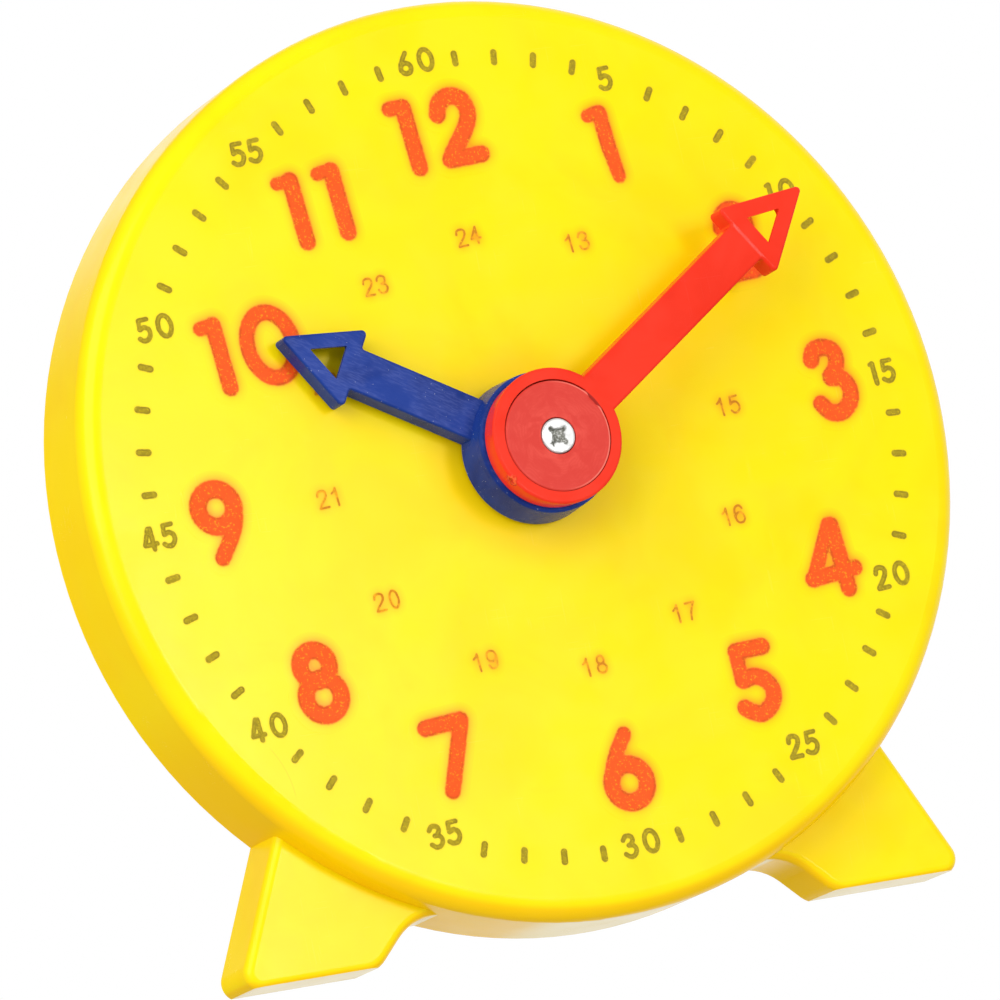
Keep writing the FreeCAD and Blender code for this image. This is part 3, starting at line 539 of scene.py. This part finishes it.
# Thin figures of the numbers 13 to 24, 2 mm high, about their own middle
DAY_FIGURES = {
    "0": [("ring", 0.13, (0.0, 0.0, 0.48, 0.93))],
    "1": [("run", 0.13, [(0.17, -0.93), (0.17, 0.93)]),
          ("run", 0.12, [(0.17, 0.93), (-0.02, 0.62), (-0.33, 0.42)])],
    "2": [("bend", 0.13, [(-0.5, 0.42), (-0.38, 0.8), (0.0, 0.93), (0.4, 0.8), (0.47, 0.4), (0.25, 0.0),
                          (-0.2, -0.45), (-0.5, -0.86)]), ("run", 0.13, [(-0.5, -0.9), (0.53, -0.9)])],
    "3": [("bend", 0.13, [(-0.5, 0.48), (-0.35, 0.82), (0.05, 0.93), (0.42, 0.72), (0.42, 0.35),
                          (0.15, 0.09), (-0.08, 0.06)]),
          ("bend", 0.13, [(0.05, 0.06), (0.42, -0.1), (0.54, -0.45), (0.35, -0.82), (0.0, -0.93),
                          (-0.35, -0.85), (-0.52, -0.5)])],
    "4": [("run", 0.13, [(0.2, 0.9), (-0.5, -0.35), (0.58, -0.35)]),
          ("run", 0.13, [(0.2, 0.9), (0.2, -0.93)])],
    "5": [("run", 0.13, [(0.48, 0.88), (-0.3, 0.88), (-0.42, 0.05)]),
          ("bend", 0.13, [(-0.42, 0.05), (-0.1, 0.27), (0.3, 0.2), (0.52, -0.15), (0.5, -0.55), (0.2, -0.88),
                          (-0.2, -0.91), (-0.5, -0.6)])],
    "6": [("bend", 0.13, [(0.48, 0.55), (0.3, 0.85), (0.0, 0.93), (-0.35, 0.75), (-0.5, 0.25), (-0.52, -0.3),
                          (-0.35, -0.8), (0.0, -0.93), (0.38, -0.8), (0.52, -0.35), (0.35, 0.08), (0.0, 0.2),
                          (-0.35, 0.05), (-0.5, -0.3)])],
    "7": [("run", 0.13, [(-0.5, 0.88), (0.53, 0.88)]),
          ("bend", 0.13, [(0.53, 0.86), (0.2, 0.35), (-0.05, -0.3), (-0.15, -0.93)])],
    "8": [("ring", 0.13, (0.0, 0.48, 0.4, 0.43)), ("ring", 0.13, (0.0, -0.43, 0.52, 0.5))],
}
DAY_FIGURES["9"] = [(kind, half, [(-x, -z) for x, z in line]) for kind, half, line in DAY_FIGURES["6"]]
DAY_NUMBERS = [
    ("1", 11.5, 21.05), ("3", 13.2, 21.05), ("1", 20.2, 12.0), ("4", 21.8, 12.0), ("1", 23.4, 0.2),
    ("5", 25.05, 0.2), ("1", 20.35, -11.5), ("6", 21.95, -11.5), ("1", 11.5, -20.4), ("7", 13.2, -20.4),
    ("1", -0.45, -23.7), ("8", 1.3, -23.7), ("1", -12.5, -20.5), ("9", -10.75, -20.5),
    ("2", -21.4, -11.9), ("0", -19.7, -11.9), ("2", -24.45, 0.05), ("1", -22.95, 0.05),
    ("2", -21.4, 12.0), ("2", -19.7, 12.0), ("2", -12.6, 21.05), ("3", -11.0, 21.05),
    ("2", -0.55, 24.1), ("4", 1.05, 24.1),
]


def middle_line(kind, half, line):
    """A stroke as rows of x, z and half width."""
    if kind == "ring":
        x, z, wide, high = line
        turn = np.linspace(0.0, 2.0 * math.pi, 41)
        return np.column_stack([x + wide * np.cos(turn), z + high * np.sin(turn), np.full(41, half)])
    points = np.array(line, float)
    widths = np.array(half if isinstance(half, tuple) else [half] * len(points), float)
    if kind == "run":
        return np.column_stack([points, widths])
    ends = np.vstack([2 * points[0] - points[1], points, 2 * points[-1] - points[-2]])
    share = np.linspace(0.0, 1.0, 7)[:-1, None]
    rows = []
    for a, b, c, d in zip(ends[:-3], ends[1:-2], ends[2:-1], ends[3:]):
        rows.append(0.5 * (2 * b + (c - a) * share + (2 * a - 5 * b + 4 * c - d) * share ** 2
                           + (3 * b - a - 3 * c + d) * share ** 3))
    rows = np.vstack(rows + [points[-1:]])
    return np.column_stack([rows, np.full(len(rows), widths[0])])


def placed(figures, numbers):
    """The middle lines of figures, each moved to its place in numbers."""
    return [middle_line(*stroke) + np.array([x, z, 0.0])
            for digit, x, z in numbers for stroke in figures[digit]]


def groups_apart(lines, gap):
    """Sorts strokes into groups that lie clear of each other, so each is outlined on its own."""
    groups = []
    for line in lines:
        low = line[:, :2].min(0) - line[:, 2].max() - gap
        high = line[:, :2].max(0) + line[:, 2].max() + gap
        touching = [g for g in groups if (g[0] < high).all() and (g[1] > low).all()]
        groups = [g for g in groups if not any(g is t for t in touching)]
        for g in touching:
            low, high = np.minimum(low, g[0]), np.maximum(high, g[1])
        groups.append((low, high, [line] + [l for g in touching for l in g[2]]))
    return groups


def outline(groups, step, reach):
    """Marches a fine grid over each group of strokes. Gives the corners, the faces of the area that lies
    within reach of a stroke, how far each corner lies outside its stroke (below 0: inside), and how much
    ink lies near it (0 to 1), which is high in a closed loop."""
    corners, edge, nearness, faces = [], [], [], []
    spread = np.exp(-0.5 * (np.arange(-3 * reach, 3 * reach + step / 2, step) / (0.55 * reach)) ** 2)
    spread /= spread.sum()
    for low, high, lines in groups:
        xs = np.arange(low[0] - step, high[0] + 2 * step, step)
        zs = np.arange(low[1] - step, high[1] + 2 * step, step)
        x, z = np.meshgrid(xs, zs, indexing="ij")
        gap = np.full(x.shape, 9.0)
        for line in lines:
            for (x0, z0, w0), (x1, z1, w1) in zip(line[:-1], line[1:]):
                along = (x1 - x0) ** 2 + (z1 - z0) ** 2
                if along == 0.0:
                    continue
                t = np.clip(((x - x0) * (x1 - x0) + (z - z0) * (z1 - z0)) / along, 0.0, 1.0)
                gap = np.minimum(gap, np.hypot(x - x0 - t * (x1 - x0), z - z0 - t * (z1 - z0))
                                 - w0 - t * (w1 - w0))
        inked = np.pad(np.clip(0.5 - gap / step, 0.0, 1.0), len(spread) // 2)
        inked = np.apply_along_axis(np.convolve, 0, inked, spread, "valid")
        inked = np.apply_along_axis(np.convolve, 1, inked, spread, "valid")
        known = {}

        def corner(i, j):
            if (i, j) not in known:
                known[i, j] = len(corners)
                corners.append((xs[i], zs[j]))
                edge.append(gap[i, j])
                nearness.append(inked[i, j])
            return known[i, j]

        def crossing(a, b):
            key = (a, b) if a < b else (b, a)
            if key not in known:
                a, b = key
                share = (reach - gap[a]) / (gap[b] - gap[a])
                known[key] = len(corners)
                corners.append((xs[a[0]] + share * (xs[b[0]] - xs[a[0]]),
                                zs[a[1]] + share * (zs[b[1]] - zs[a[1]])))
                edge.append(reach)
                nearness.append(inked[a] + share * (inked[b] - inked[a]))
            return known[key]

        inside = gap < reach
        near = inside[:-1, :-1] | inside[1:, :-1] | inside[1:, 1:] | inside[:-1, 1:]
        for i, j in zip(*np.nonzero(near)):
            ring = [(i, j), (i + 1, j), (i + 1, j + 1), (i, j + 1)]
            face = []
            for a, b in zip(ring, ring[1:] + ring[:1]):
                if inside[a]:
                    face.append(corner(*a))
                if inside[a] != inside[b]:
                    face.append(crossing(a, b))
            if len(face) > 2:
                faces.append(face)
    return np.array(corners), np.array(edge), np.array(nearness), faces


def new_piece(name, corners, faces, values, material):
    """A mesh in the scene. Values are what it keeps at its corners for the material, by label."""
    mesh = bpy.data.meshes.new(name)
    mesh.from_pydata(corners.tolist(), [], faces)
    for label, numbers in values.items():
        mesh.attributes.new(label, "FLOAT", "POINT").data.foreach_set("value", numbers.astype(np.float32))
    mesh.materials.append(material)
    piece = bpy.data.objects.new(name, mesh)
    bpy.context.scene.collection.objects.link(piece)
    return piece


def print_on_dial(name, lines, inks, step, reach, material, share=1.0):
    """Lays a film of ink on the flat of the dial, turned as the print is turned on the case. Films whose
    stains meet have a different share of the full height, so that no two tops lie in one plane."""
    corners, edge, nearness, faces = outline(groups_apart(lines, reach), step, reach)
    c, s = math.cos(inks.twist), math.sin(inks.twist)
    x, z = corners[:, 0] * MM, corners[:, 1] * MM
    height = inks.film * share
    top = CENTRE.y - height
    places = np.column_stack([CENTRE.x + c * x - s * z, np.full(len(x), top), CENTRE.z + s * x + c * z])
    piece = new_piece(name, places, faces, {"outside_stroke": edge, "ink_near": nearness}, material)
    film = piece.modifiers.new("film", "SOLIDIFY")
    film.thickness = height * 0.9
    film.offset = -1.0
    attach(piece, "case")


def ink_material(name, plastics, body, edge_colour, stain, worn, soft=0.10, blot=0.5 * MM, bleed=1.7):
    """Ink over the yellow plastic: duller than it, mottled and thin in places inside the stroke, a patchy
    darker line where it piles up along the edge, and round it a stain that is deepest where most ink lies
    near. Soft, the width of the fading edge, is in mm."""
    recipe = Recipe(name)
    yellow, rough, normal = moulded(recipe, plastics.yellow, plastics.amber)
    ragged = recipe.band(recipe.noise(0.38 * MM, detail=3.0), 0.25, 0.75, -0.35 * soft, 0.35 * soft,
                         smooth=False)
    gap = recipe.plus(recipe.stored("outside_stroke"), ragged)
    blots = recipe.noise(blot, detail=4.0, roughness=0.6)
    ink = recipe.mix(recipe.band(blots, 0.42, 0.62, 0.0, worn), body, edge_colour)
    line = recipe.times(recipe.band(gap, -3.0 * soft, -0.9 * soft),
                        recipe.band(recipe.noise(1.1 * MM), 0.38, 0.62, 0.15, 1.0))
    ink = recipe.mix(line, ink, edge_colour)
    thin = recipe.noise(0.22 * MM, detail=3.0, shift=(0.01, 0.0, 0.02))
    ink = recipe.mix(recipe.band(thin, 0.56, 0.72, 0.0, 0.30), ink, yellow)
    near = recipe.times(recipe.stored("ink_near"), bleed, clamp=True)
    stained = recipe.mix(near, yellow, stain)
    outside = recipe.band(gap, -soft, soft)
    base = recipe.mix(outside, ink, stained)
    dull = recipe.times(recipe.math("SUBTRACT", 1.0, outside), 0.32)
    rough = recipe.plus(rough, dull)
    return recipe.finish(base, rough, normal, **YELLOW_GLOSS)


# Cap and screws

class Turned:
    """Rings of corners about the y axis, in mm, each corner with a value that its material reads."""

    def __init__(self, across, up):
        self.across, self.up = across, up
        self.rows = []

    def ring(self, radius, height, value=0.0):
        radius, height, value = (np.broadcast_to(v, len(self.up)) for v in (radius, height, value))
        self.rows.append(np.column_stack([radius * self.across, height, radius * self.up, value]))

    def tip(self, height, value=0.0):
        self.rows.append(np.array([[0.0, height, 0.0, value]]))

    def shell(self, place, looks=1.0, flip=True, closed=False):
        """Corners and faces, in metres. A closed shell has no tips, and its last ring meets its first."""
        count = len(self.up)
        first = [int(f) for f in np.cumsum([0] + [len(row) for row in self.rows])]
        steps = [len(row) > 1 for row in self.rows]
        pairs = list(zip(range(len(self.rows)), range(1, len(self.rows))))
        if closed:
            pairs.append((len(self.rows) - 1, 0))
        faces = []
        for a, b in pairs:
            for j in range(count):
                k = (j + 1) % count
                face = [first[a] + j * steps[a], first[b] + j * steps[b],
                        first[b] + k * steps[b], first[a] + k * steps[a]]
                face = list(dict.fromkeys(face))
                faces.append(face[::-1] if flip else face)
        corners = np.vstack(self.rows)
        corners[:, :3] *= MM
        corners[:, 1] *= looks
        corners[:, :3] += np.array(place)
        return corners, faces


def turns(count):
    return np.linspace(0.0, 2.0 * math.pi, count + 1)[:-1]


def piece_from(name, shells, label, material, body, stands_for):
    """One piece from closed shells of corners (x, y, z and a value that the material reads by label)."""
    corners = np.vstack([shell[0] for shell in shells])
    first = np.cumsum([0] + [len(shell[0]) for shell in shells])
    faces = [[f + int(start) for f in face] for start, shell in zip(first, shells) for face in shell[1]]
    piece = new_piece(name, corners[:, :3], faces, {label: corners[:, 3]}, material)
    piece.data.polygons.foreach_set("use_smooth", [True] * len(faces))
    piece.data.set_sharp_from_angle(angle=math.radians(38.0))
    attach(piece, body)
    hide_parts(stands_for)


def eased(value, low, high):
    share = np.clip((value - low) / (high - low), 0.0, 1.0)
    return share * share * (3.0 - 2.0 * share)


def cross_recess(x, z, half, wide, turn, worn, seed):
    """How deep the cross of a screw head is at x and z, from 0 to 1. A worn cross is torn and blunt."""
    torn = [[noise.noise((px * 3.1, pz * 3.1, seed + side)) for px, pz in zip(x, z)] for side in (0.0, 7.3)]
    x, z = x + 0.16 * worn * np.array(torn[0]), z + 0.16 * worn * np.array(torn[1])
    a = np.abs(x * math.cos(turn) + z * math.sin(turn))
    b = np.abs(z * math.cos(turn) - x * math.sin(turn))
    arms = np.maximum(np.maximum(a, b) - half, np.minimum(a, b) - wide / 2)
    middle = (a + b - half * (0.72 + 0.12 * worn)) * 0.7
    gap = np.minimum(arms, middle)
    floor = 1.0 - 0.45 * np.hypot(x, z) / half
    return eased(-gap, -0.02, 0.16) * floor


# Sizes of the screws, in mm. Half and wide are the reach and the width of the arms of the cross.
HAND_SCREW = {"head_r": 1.89, "head_high": 1.15, "edge": 0.16, "shank_r": 1.0, "half": 1.33, "wide": 0.52}
COVER_SCREW = {"head_r": 2.0, "head_high": 1.25, "edge": 0.3, "shank_r": 1.1, "half": 1.25, "wide": 0.5}
COVER_SCREW_TURNS = (0.3, 1.1, 0.75, 0.1, 1.4)
CROSS_DEPTH = 0.62
HEAD_DOME = 0.02


def screw(place, looks, long, turn, worn, seed, spokes, head_r, head_high, edge, shank_r, half, wide):
    """A cross-head screw with sizes in mm. Its head looks along y (looks is 1 or -1), and place, in metres,
    is where its top lies."""
    way = turns(spokes)
    c, s = np.cos(way), np.sin(way)
    body = Turned(c, s)
    middle = float(cross_recess(np.zeros(1), np.zeros(1), half, wide, turn, worn, seed)[0])
    body.tip(-CROSS_DEPTH * middle, middle)
    for radius in np.linspace(0.0, head_r - edge, 32)[1:]:
        cut = cross_recess(radius * c, radius * s, half, wide, turn, worn, seed)
        body.ring(radius, -CROSS_DEPTH * cut - HEAD_DOME * (radius / head_r) ** 2, cut)
    for lean in np.linspace(0.0, math.pi / 2, 5)[1:]:
        body.ring(head_r - edge + edge * math.sin(lean), -HEAD_DOME - edge + edge * math.cos(lean))
    body.ring(head_r, -head_high)
    body.ring(shank_r, -head_high)
    pitch, groove = 0.9 * shank_r, 0.26 * shank_r
    shank_long = long - head_high
    tip_long = 1.4 * shank_r

    def threaded(at, share=1.0):
        phase = (at / pitch - way / (2.0 * math.pi)) % 1.0
        body.ring((shank_r - groove * eased(np.abs(phase - 0.5), 0.08, 0.30)) * share, -head_high - at)

    run = np.arange(0.1, shank_long - tip_long, pitch / 7)
    for at in run:
        threaded(at)
    for share in np.linspace(0.0, 1.0, 8)[1:]:
        threaded(run[-1] + share * (shank_long - run[-1]), 1.0 - 0.88 * share)
    body.tip(-head_high - shank_long)
    return body.shell(place, looks, flip=looks > 0)


def screw_places():
    """The middle of each cover screw, found from the separate lumps of the CAD node."""
    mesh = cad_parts["cover_screws"].data
    corners = np.empty(len(mesh.vertices) * 3)
    mesh.vertices.foreach_get("co", corners)
    corners = corners.reshape(-1, 3)[:, [0, 2]]
    groups = []
    for corner in corners:
        for group in groups:
            if np.hypot(*(group[0] - corner)) < 5.0 * MM:
                group.append(corner)
                break
        else:
            groups.append([corner])
    return [tuple((np.min(group, 0) + np.max(group, 0)) / 2) for group in groups]


# Sizes of the disc in the minute hand, in mm
CAP_R = 5.98
CAP_ROUND = 0.17
CAP_SINK_R, CAP_HOLE_R, CAP_SEAT = 2.0, 1.15, 1.07
SINK_ROUND = 0.05
SCALLOP_DEEP = 0.27
LEDGE_WIDE, LEDGE_UP = 0.08, 0.105
LEDGE_FOOT, EDGE_FOOT = 0.30, 0.34
SLIVER = 0.001


def cap_shell(low, high):
    """The disc in the minute hand: a flat face with a rounded edge, a shallow scallop towards the arm with a
    ledge along it, which is the floor of the groove, and a hole with the screw's seat. The value kept at
    each corner is how much painted shade it gets: in the groove, and on the seat of the screw."""
    clock = turns(240)
    disc = Turned(np.sin(clock), np.cos(clock))
    thick = (high.y - low.y) / MM
    off = np.abs(np.degrees(clock) - MINUTE_CLOCK)
    scallop = 1.0 - eased(off, 4.5, 11.0)
    ledge = 1.0 - eased(off, 13.6, 15.0)
    outside = CAP_R + LEDGE_WIDE * ledge
    rim = CAP_R - SCALLOP_DEEP * scallop
    flat = rim - CAP_ROUND
    start = CAP_SINK_R + SINK_ROUND
    disc.ring(CAP_HOLE_R, thick)
    disc.ring(CAP_HOLE_R, CAP_SEAT)
    disc.ring(CAP_SINK_R, CAP_SEAT, 1.0)
    disc.ring(CAP_SINK_R, 0.8 * SINK_ROUND)
    disc.ring(start, 0.0)
    for share in np.linspace(0.0, 1.0, 26)[1:]:
        disc.ring(start + share * (flat - start), 0.0)
    for lean in np.linspace(0.0, math.pi / 2, 6)[1:]:
        down = CAP_ROUND * (1.0 - math.cos(lean)) * (1.0 - 0.62 * ledge)
        disc.ring(flat + CAP_ROUND * math.sin(lean), down, ledge * max(0.0, 4.0 * lean / math.pi - 1.0))
    ledge_top = CAP_ROUND - LEDGE_UP * ledge
    # The ledge carries the value of the painted shade in the groove.
    disc.ring((rim + outside) / 2 + SLIVER, ledge_top, ledge)
    disc.ring(outside + 2 * SLIVER, ledge_top, ledge)
    disc.ring(outside + 2 * SLIVER, LEDGE_FOOT, ledge)
    disc.ring(CAP_R, EDGE_FOOT)
    disc.ring(CAP_R, thick)
    return disc.shell((CENTRE.x, low.y, CENTRE.z), closed=True)


# Operators

class CLOCK_OT_case(bpy.types.Operator):
    """Finish the yellow case and the back cover"""
    bl_idname = "teach_clock.case"
    bl_label = "Yellow case and back"

    def execute(self, context):
        plastics = context.scene.clock_plastics
        put_on("dial_case", yellow_plastic(plastics))
        put_on("back_cover", plain_plastic("yellow_cover_plastic", plastics.yellow, plastics.amber,
                                           20 * MM, 0.36, YELLOW_GLOSS))
        return {"FINISHED"}


class CLOCK_OT_hands(bpy.types.Operator):
    """Finish the blue hour hand, the red minute hand and the disc in its middle"""
    bl_idname = "teach_clock.hands"
    bl_label = "Hands"

    def execute(self, context):
        plastics = context.scene.clock_plastics
        put_on("hour_hand", blue_plastic(plastics))
        put_on("minute_hand", red_plastic(plastics))
        low, high = (Vector(corner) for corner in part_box("hand_cap"))
        piece_from("cap_disc", [cap_shell(low, high)], "in_groove", cap_plastic(plastics), "minute",
                   "hand_cap")
        return {"FINISHED"}


class CLOCK_OT_works(bpy.types.Operator):
    """Finish the wheels and the arbor behind the dial"""
    bl_idname = "teach_clock.works"
    bl_label = "Wheels and arbor"

    def execute(self, context):
        plastics = context.scene.clock_plastics
        deep = [v * 0.86 for v in plastics.ivory]
        wheels = plain_plastic("ivory_plastic", plastics.ivory, deep, 4 * MM, 0.42, IVORY_GLOSS)
        for node in ("hour_wheel", "idler_gear", "minute_arbor"):
            put_on(node, wheels)
        return {"FINISHED"}


class CLOCK_OT_screws(bpy.types.Operator):
    """Finish the plated screws"""
    bl_idname = "teach_clock.screws"
    bl_label = "Screws"

    def execute(self, context):
        plastics = context.scene.clock_plastics
        zinc = zinc_plate(plastics)
        low, high = (Vector(corner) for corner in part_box("hand_screw"))
        top = (CENTRE.x, low.y, CENTRE.z)
        head = screw(top, -1.0, (high.y - low.y) / MM, turn=math.radians(41.0), worn=1.0, seed=3.0,
                     spokes=96, **HAND_SCREW)
        piece_from("hand_screw_plated", [head], "in_cross", zinc, "minute", "hand_screw")
        low, high = (Vector(corner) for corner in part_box("cover_screws"))
        rear = [screw((x, high.y, z), 1.0, (high.y - low.y) / MM, turn=turn, worn=0.35, seed=turn,
                      spokes=60, **COVER_SCREW)
                for turn, (x, z) in zip(COVER_SCREW_TURNS, screw_places())]
        piece_from("cover_screws_plated", rear, "in_cross", zinc, "case", "cover_screws")
        return {"FINISHED"}


class CLOCK_OT_hours(bpy.types.Operator):
    """Print the large hour numbers 1 to 12"""
    bl_idname = "teach_clock.hours"
    bl_label = "Hour numbers"

    def execute(self, context):
        plastics, inks = context.scene.clock_plastics, context.scene.clock_inks
        reach = inks.hour_reach / MM
        ink = ink_material("hour_ink", plastics, inks.hour_ink, inks.hour_edge, inks.hour_bleed, 0.26,
                           soft=0.15, bleed=1.5)
        lines = [middle_line(*stroke) for stroke in HOUR_STROKES]
        print_on_dial("hour_numbers", lines, inks, COARSE_GRID, reach, ink)
        return {"FINISHED"}


class CLOCK_OT_minutes(bpy.types.Operator):
    """Print the minute numbers 5 to 60 and the strokes between them"""
    bl_idname = "teach_clock.minutes"
    bl_label = "Minute ring"

    def execute(self, context):
        plastics, inks = context.scene.clock_plastics, context.scene.clock_inks
        reach = inks.minute_reach / MM
        ink = ink_material("minute_ink", plastics, inks.minute_ink, inks.minute_edge, inks.minute_ink,
                           0.55, soft=0.08, blot=0.4 * MM, bleed=0.25)
        lines = placed(MINUTE_FIGURES, MINUTE_NUMBERS)
        half = inks.stroke_wide / MM / 2
        middle, reach_out = inks.stroke_ring / MM, inks.stroke_long / MM / 2 - half
        for minute in range(60):
            if minute % 5:
                turn = math.radians(6.0 * minute)
                lines.append(np.array([[r * math.sin(turn), r * math.cos(turn), half]
                                       for r in (middle - reach_out, middle + reach_out)]))
        print_on_dial("minute_ring", lines, inks, FINE_GRID, reach, ink, share=MINUTE_FILM)
        return {"FINISHED"}


class CLOCK_OT_day(bpy.types.Operator):
    """Print the thin numbers 13 to 24"""
    bl_idname = "teach_clock.day"
    bl_label = "Numbers 13 to 24"

    def execute(self, context):
        plastics, inks = context.scene.clock_plastics, context.scene.clock_inks
        reach = inks.day_reach / MM
        ink = ink_material("day_ink", plastics, inks.day_bleed, inks.day_ink, inks.day_bleed, 0.6,
                           soft=0.07, blot=0.6 * MM, bleed=2.2)
        print_on_dial("day_numbers", placed(DAY_FIGURES, DAY_NUMBERS), inks, FINE_GRID, reach, ink,
                      share=DAY_FILM)
        return {"FINISHED"}


def lamp(name, place, aim, wide, high, power):
    light = bpy.data.lights.new(name, "AREA")
    light.shape = "RECTANGLE"
    light.size, light.size_y = wide, high
    light.energy = power
    thing = bpy.data.objects.new(name, light)
    thing.location = place
    thing.rotation_euler = (Vector(aim) - Vector(place)).to_track_quat("-Z", "Y").to_euler()
    bpy.context.scene.collection.objects.link(thing)


def surround(scene, level):
    """Even light from all round. The camera sees white. Gloss and glass see the white backdrop behind
    the clock, and a dim room elsewhere."""
    recipe = Recipe("surround", "worlds", "ShaderNodeOutputWorld")
    scene.world = recipe.owner
    path = recipe.add("ShaderNodeLightPath").outputs
    facing = recipe.vector("DOT_PRODUCT", recipe.coordinates["Generated"], BACKDROP, out="Value")
    behind = recipe.band(facing, BACKDROP_FADES, BACKDROP_FULL, ROOM, 1.0)
    mirrored = recipe.math("MAXIMUM", path["Is Glossy Ray"], path["Is Transmission Ray"])
    seen = recipe.math("MAXIMUM", path["Is Camera Ray"], recipe.times(mirrored, behind))
    lit = recipe.math("SUBTRACT", 1.0, recipe.math("MAXIMUM", path["Is Camera Ray"], mirrored))
    white, light = (recipe.add("ShaderNodeBackground", {"Color": (1.0, 1.0, 1.0), "Strength": strength})
                    for strength in (seen, recipe.times(lit, level)))
    both = recipe.add("ShaderNodeAddShader", {0: white.outputs[0], 1: light.outputs[0]})
    recipe.set(recipe.out.inputs["Surface"], both.outputs[0])


def pale_floor(colour, reach):
    """Matt floor that shows from above only, and fades out into the white surround."""
    recipe = Recipe("pale_floor")
    away = recipe.vector("LENGTH", recipe.places, out="Value")
    shown = recipe.band(away, 0.25 * reach, reach, 1.0, 0.0)
    seen = recipe.add("ShaderNodeLightPath").outputs["Is Camera Ray"]
    under = recipe.add("ShaderNodeNewGeometry").outputs["Backfacing"]
    shown = recipe.times(shown, recipe.math("SUBTRACT", seen, under, clamp=True))
    clear = recipe.add("ShaderNodeBsdfTransparent")
    matt = recipe.add("ShaderNodeBsdfDiffuse", {"Color": colour})
    mixed = recipe.add("ShaderNodeMixShader", {0: shown, 1: clear.outputs[0], 2: matt.outputs[0]})
    recipe.set(recipe.out.inputs["Surface"], mixed.outputs[0])
    return recipe.owner


class CLOCK_OT_stage(bpy.types.Operator):
    """Lay the pale floor, hang the lamps and set up the camera"""
    bl_idname = "teach_clock.stage"
    bl_label = "Stage, lamps and camera"

    def execute(self, context):
        stage = context.scene.clock_stage
        # The camera looks up from a little below the floor, so the floor only shows from above.
        rim = [(stage.floor_reach * math.cos(t), stage.floor_reach * math.sin(t), 0.0) for t in turns(64)]
        mesh = bpy.data.meshes.new("floor")
        mesh.from_pydata(rim, [], [list(range(len(rim)))])
        mesh.materials.append(pale_floor(stage.floor_colour, stage.floor_reach))
        floor = bpy.data.objects.new("floor", mesh)
        floor.location.z = min(0.0, cad_box[0][2]) - FLOOR_GAP
        context.scene.collection.objects.link(floor)

        lamp(*KEY_LAMP, stage.key_level)
        lamp(*FILL_LAMP, stage.fill_level)
        lamp(*SHEEN_LAMP, stage.sheen_level)
        surround(context.scene, stage.sky_level)
        context.scene.view_settings.view_transform = "Standard"

        lens = bpy.data.cameras.new("photo_camera")
        lens.sensor_width = FILM_WIDE
        lens.lens = stage.lens / MM
        lens.clip_start, lens.clip_end = 0.05, 20.0
        camera = bpy.data.objects.new("photo_camera", lens)
        camera.location = CAMERA_PLACE
        camera.rotation_euler = [math.radians(turn) for turn in CAMERA_TURN]
        context.scene.collection.objects.link(camera)
        context.scene.camera = camera
        return {"FINISHED"}


class CLOCK_PT_panel(bpy.types.Panel):
    """Lists the steps that finish the clock"""
    bl_idname = "CLOCK_PT_panel"
    bl_label = "Teaching clock"
    bl_space_type = "VIEW_3D"
    bl_region_type = "UI"
    bl_category = "Clock"

    def draw(self, context):
        for group in ("clock_plastics", "clock_inks", "clock_stage"):
            values = getattr(context.scene, group)
            box = self.layout.box()
            for key in values.__annotations__:
                box.prop(values, key)
        for step in OPERATORS:
            self.layout.operator(step.bl_idname)


OPERATORS = (CLOCK_OT_case, CLOCK_OT_hands, CLOCK_OT_works, CLOCK_OT_screws, CLOCK_OT_hours,
             CLOCK_OT_minutes, CLOCK_OT_day, CLOCK_OT_stage)
CLASSES = (ClockPlastics, ClockInks, ClockStage, *OPERATORS, CLOCK_PT_panel)


def register():
    for kind in CLASSES:
        bpy.utils.register_class(kind)
    bpy.types.Scene.clock_plastics = PointerProperty(type=ClockPlastics)
    bpy.types.Scene.clock_inks = PointerProperty(type=ClockInks)
    bpy.types.Scene.clock_stage = PointerProperty(type=ClockStage)


def unregister():
    del bpy.types.Scene.clock_stage, bpy.types.Scene.clock_inks, bpy.types.Scene.clock_plastics
    for kind in reversed(CLASSES):
        bpy.utils.unregister_class(kind)


def main():
    register()
    steps = bpy.ops.teach_clock
    for step in (steps.case, steps.hands, steps.works, steps.screws, steps.hours, steps.minutes, steps.day,
                 steps.stage):
        step()


if __name__ == "__main__":
    main()
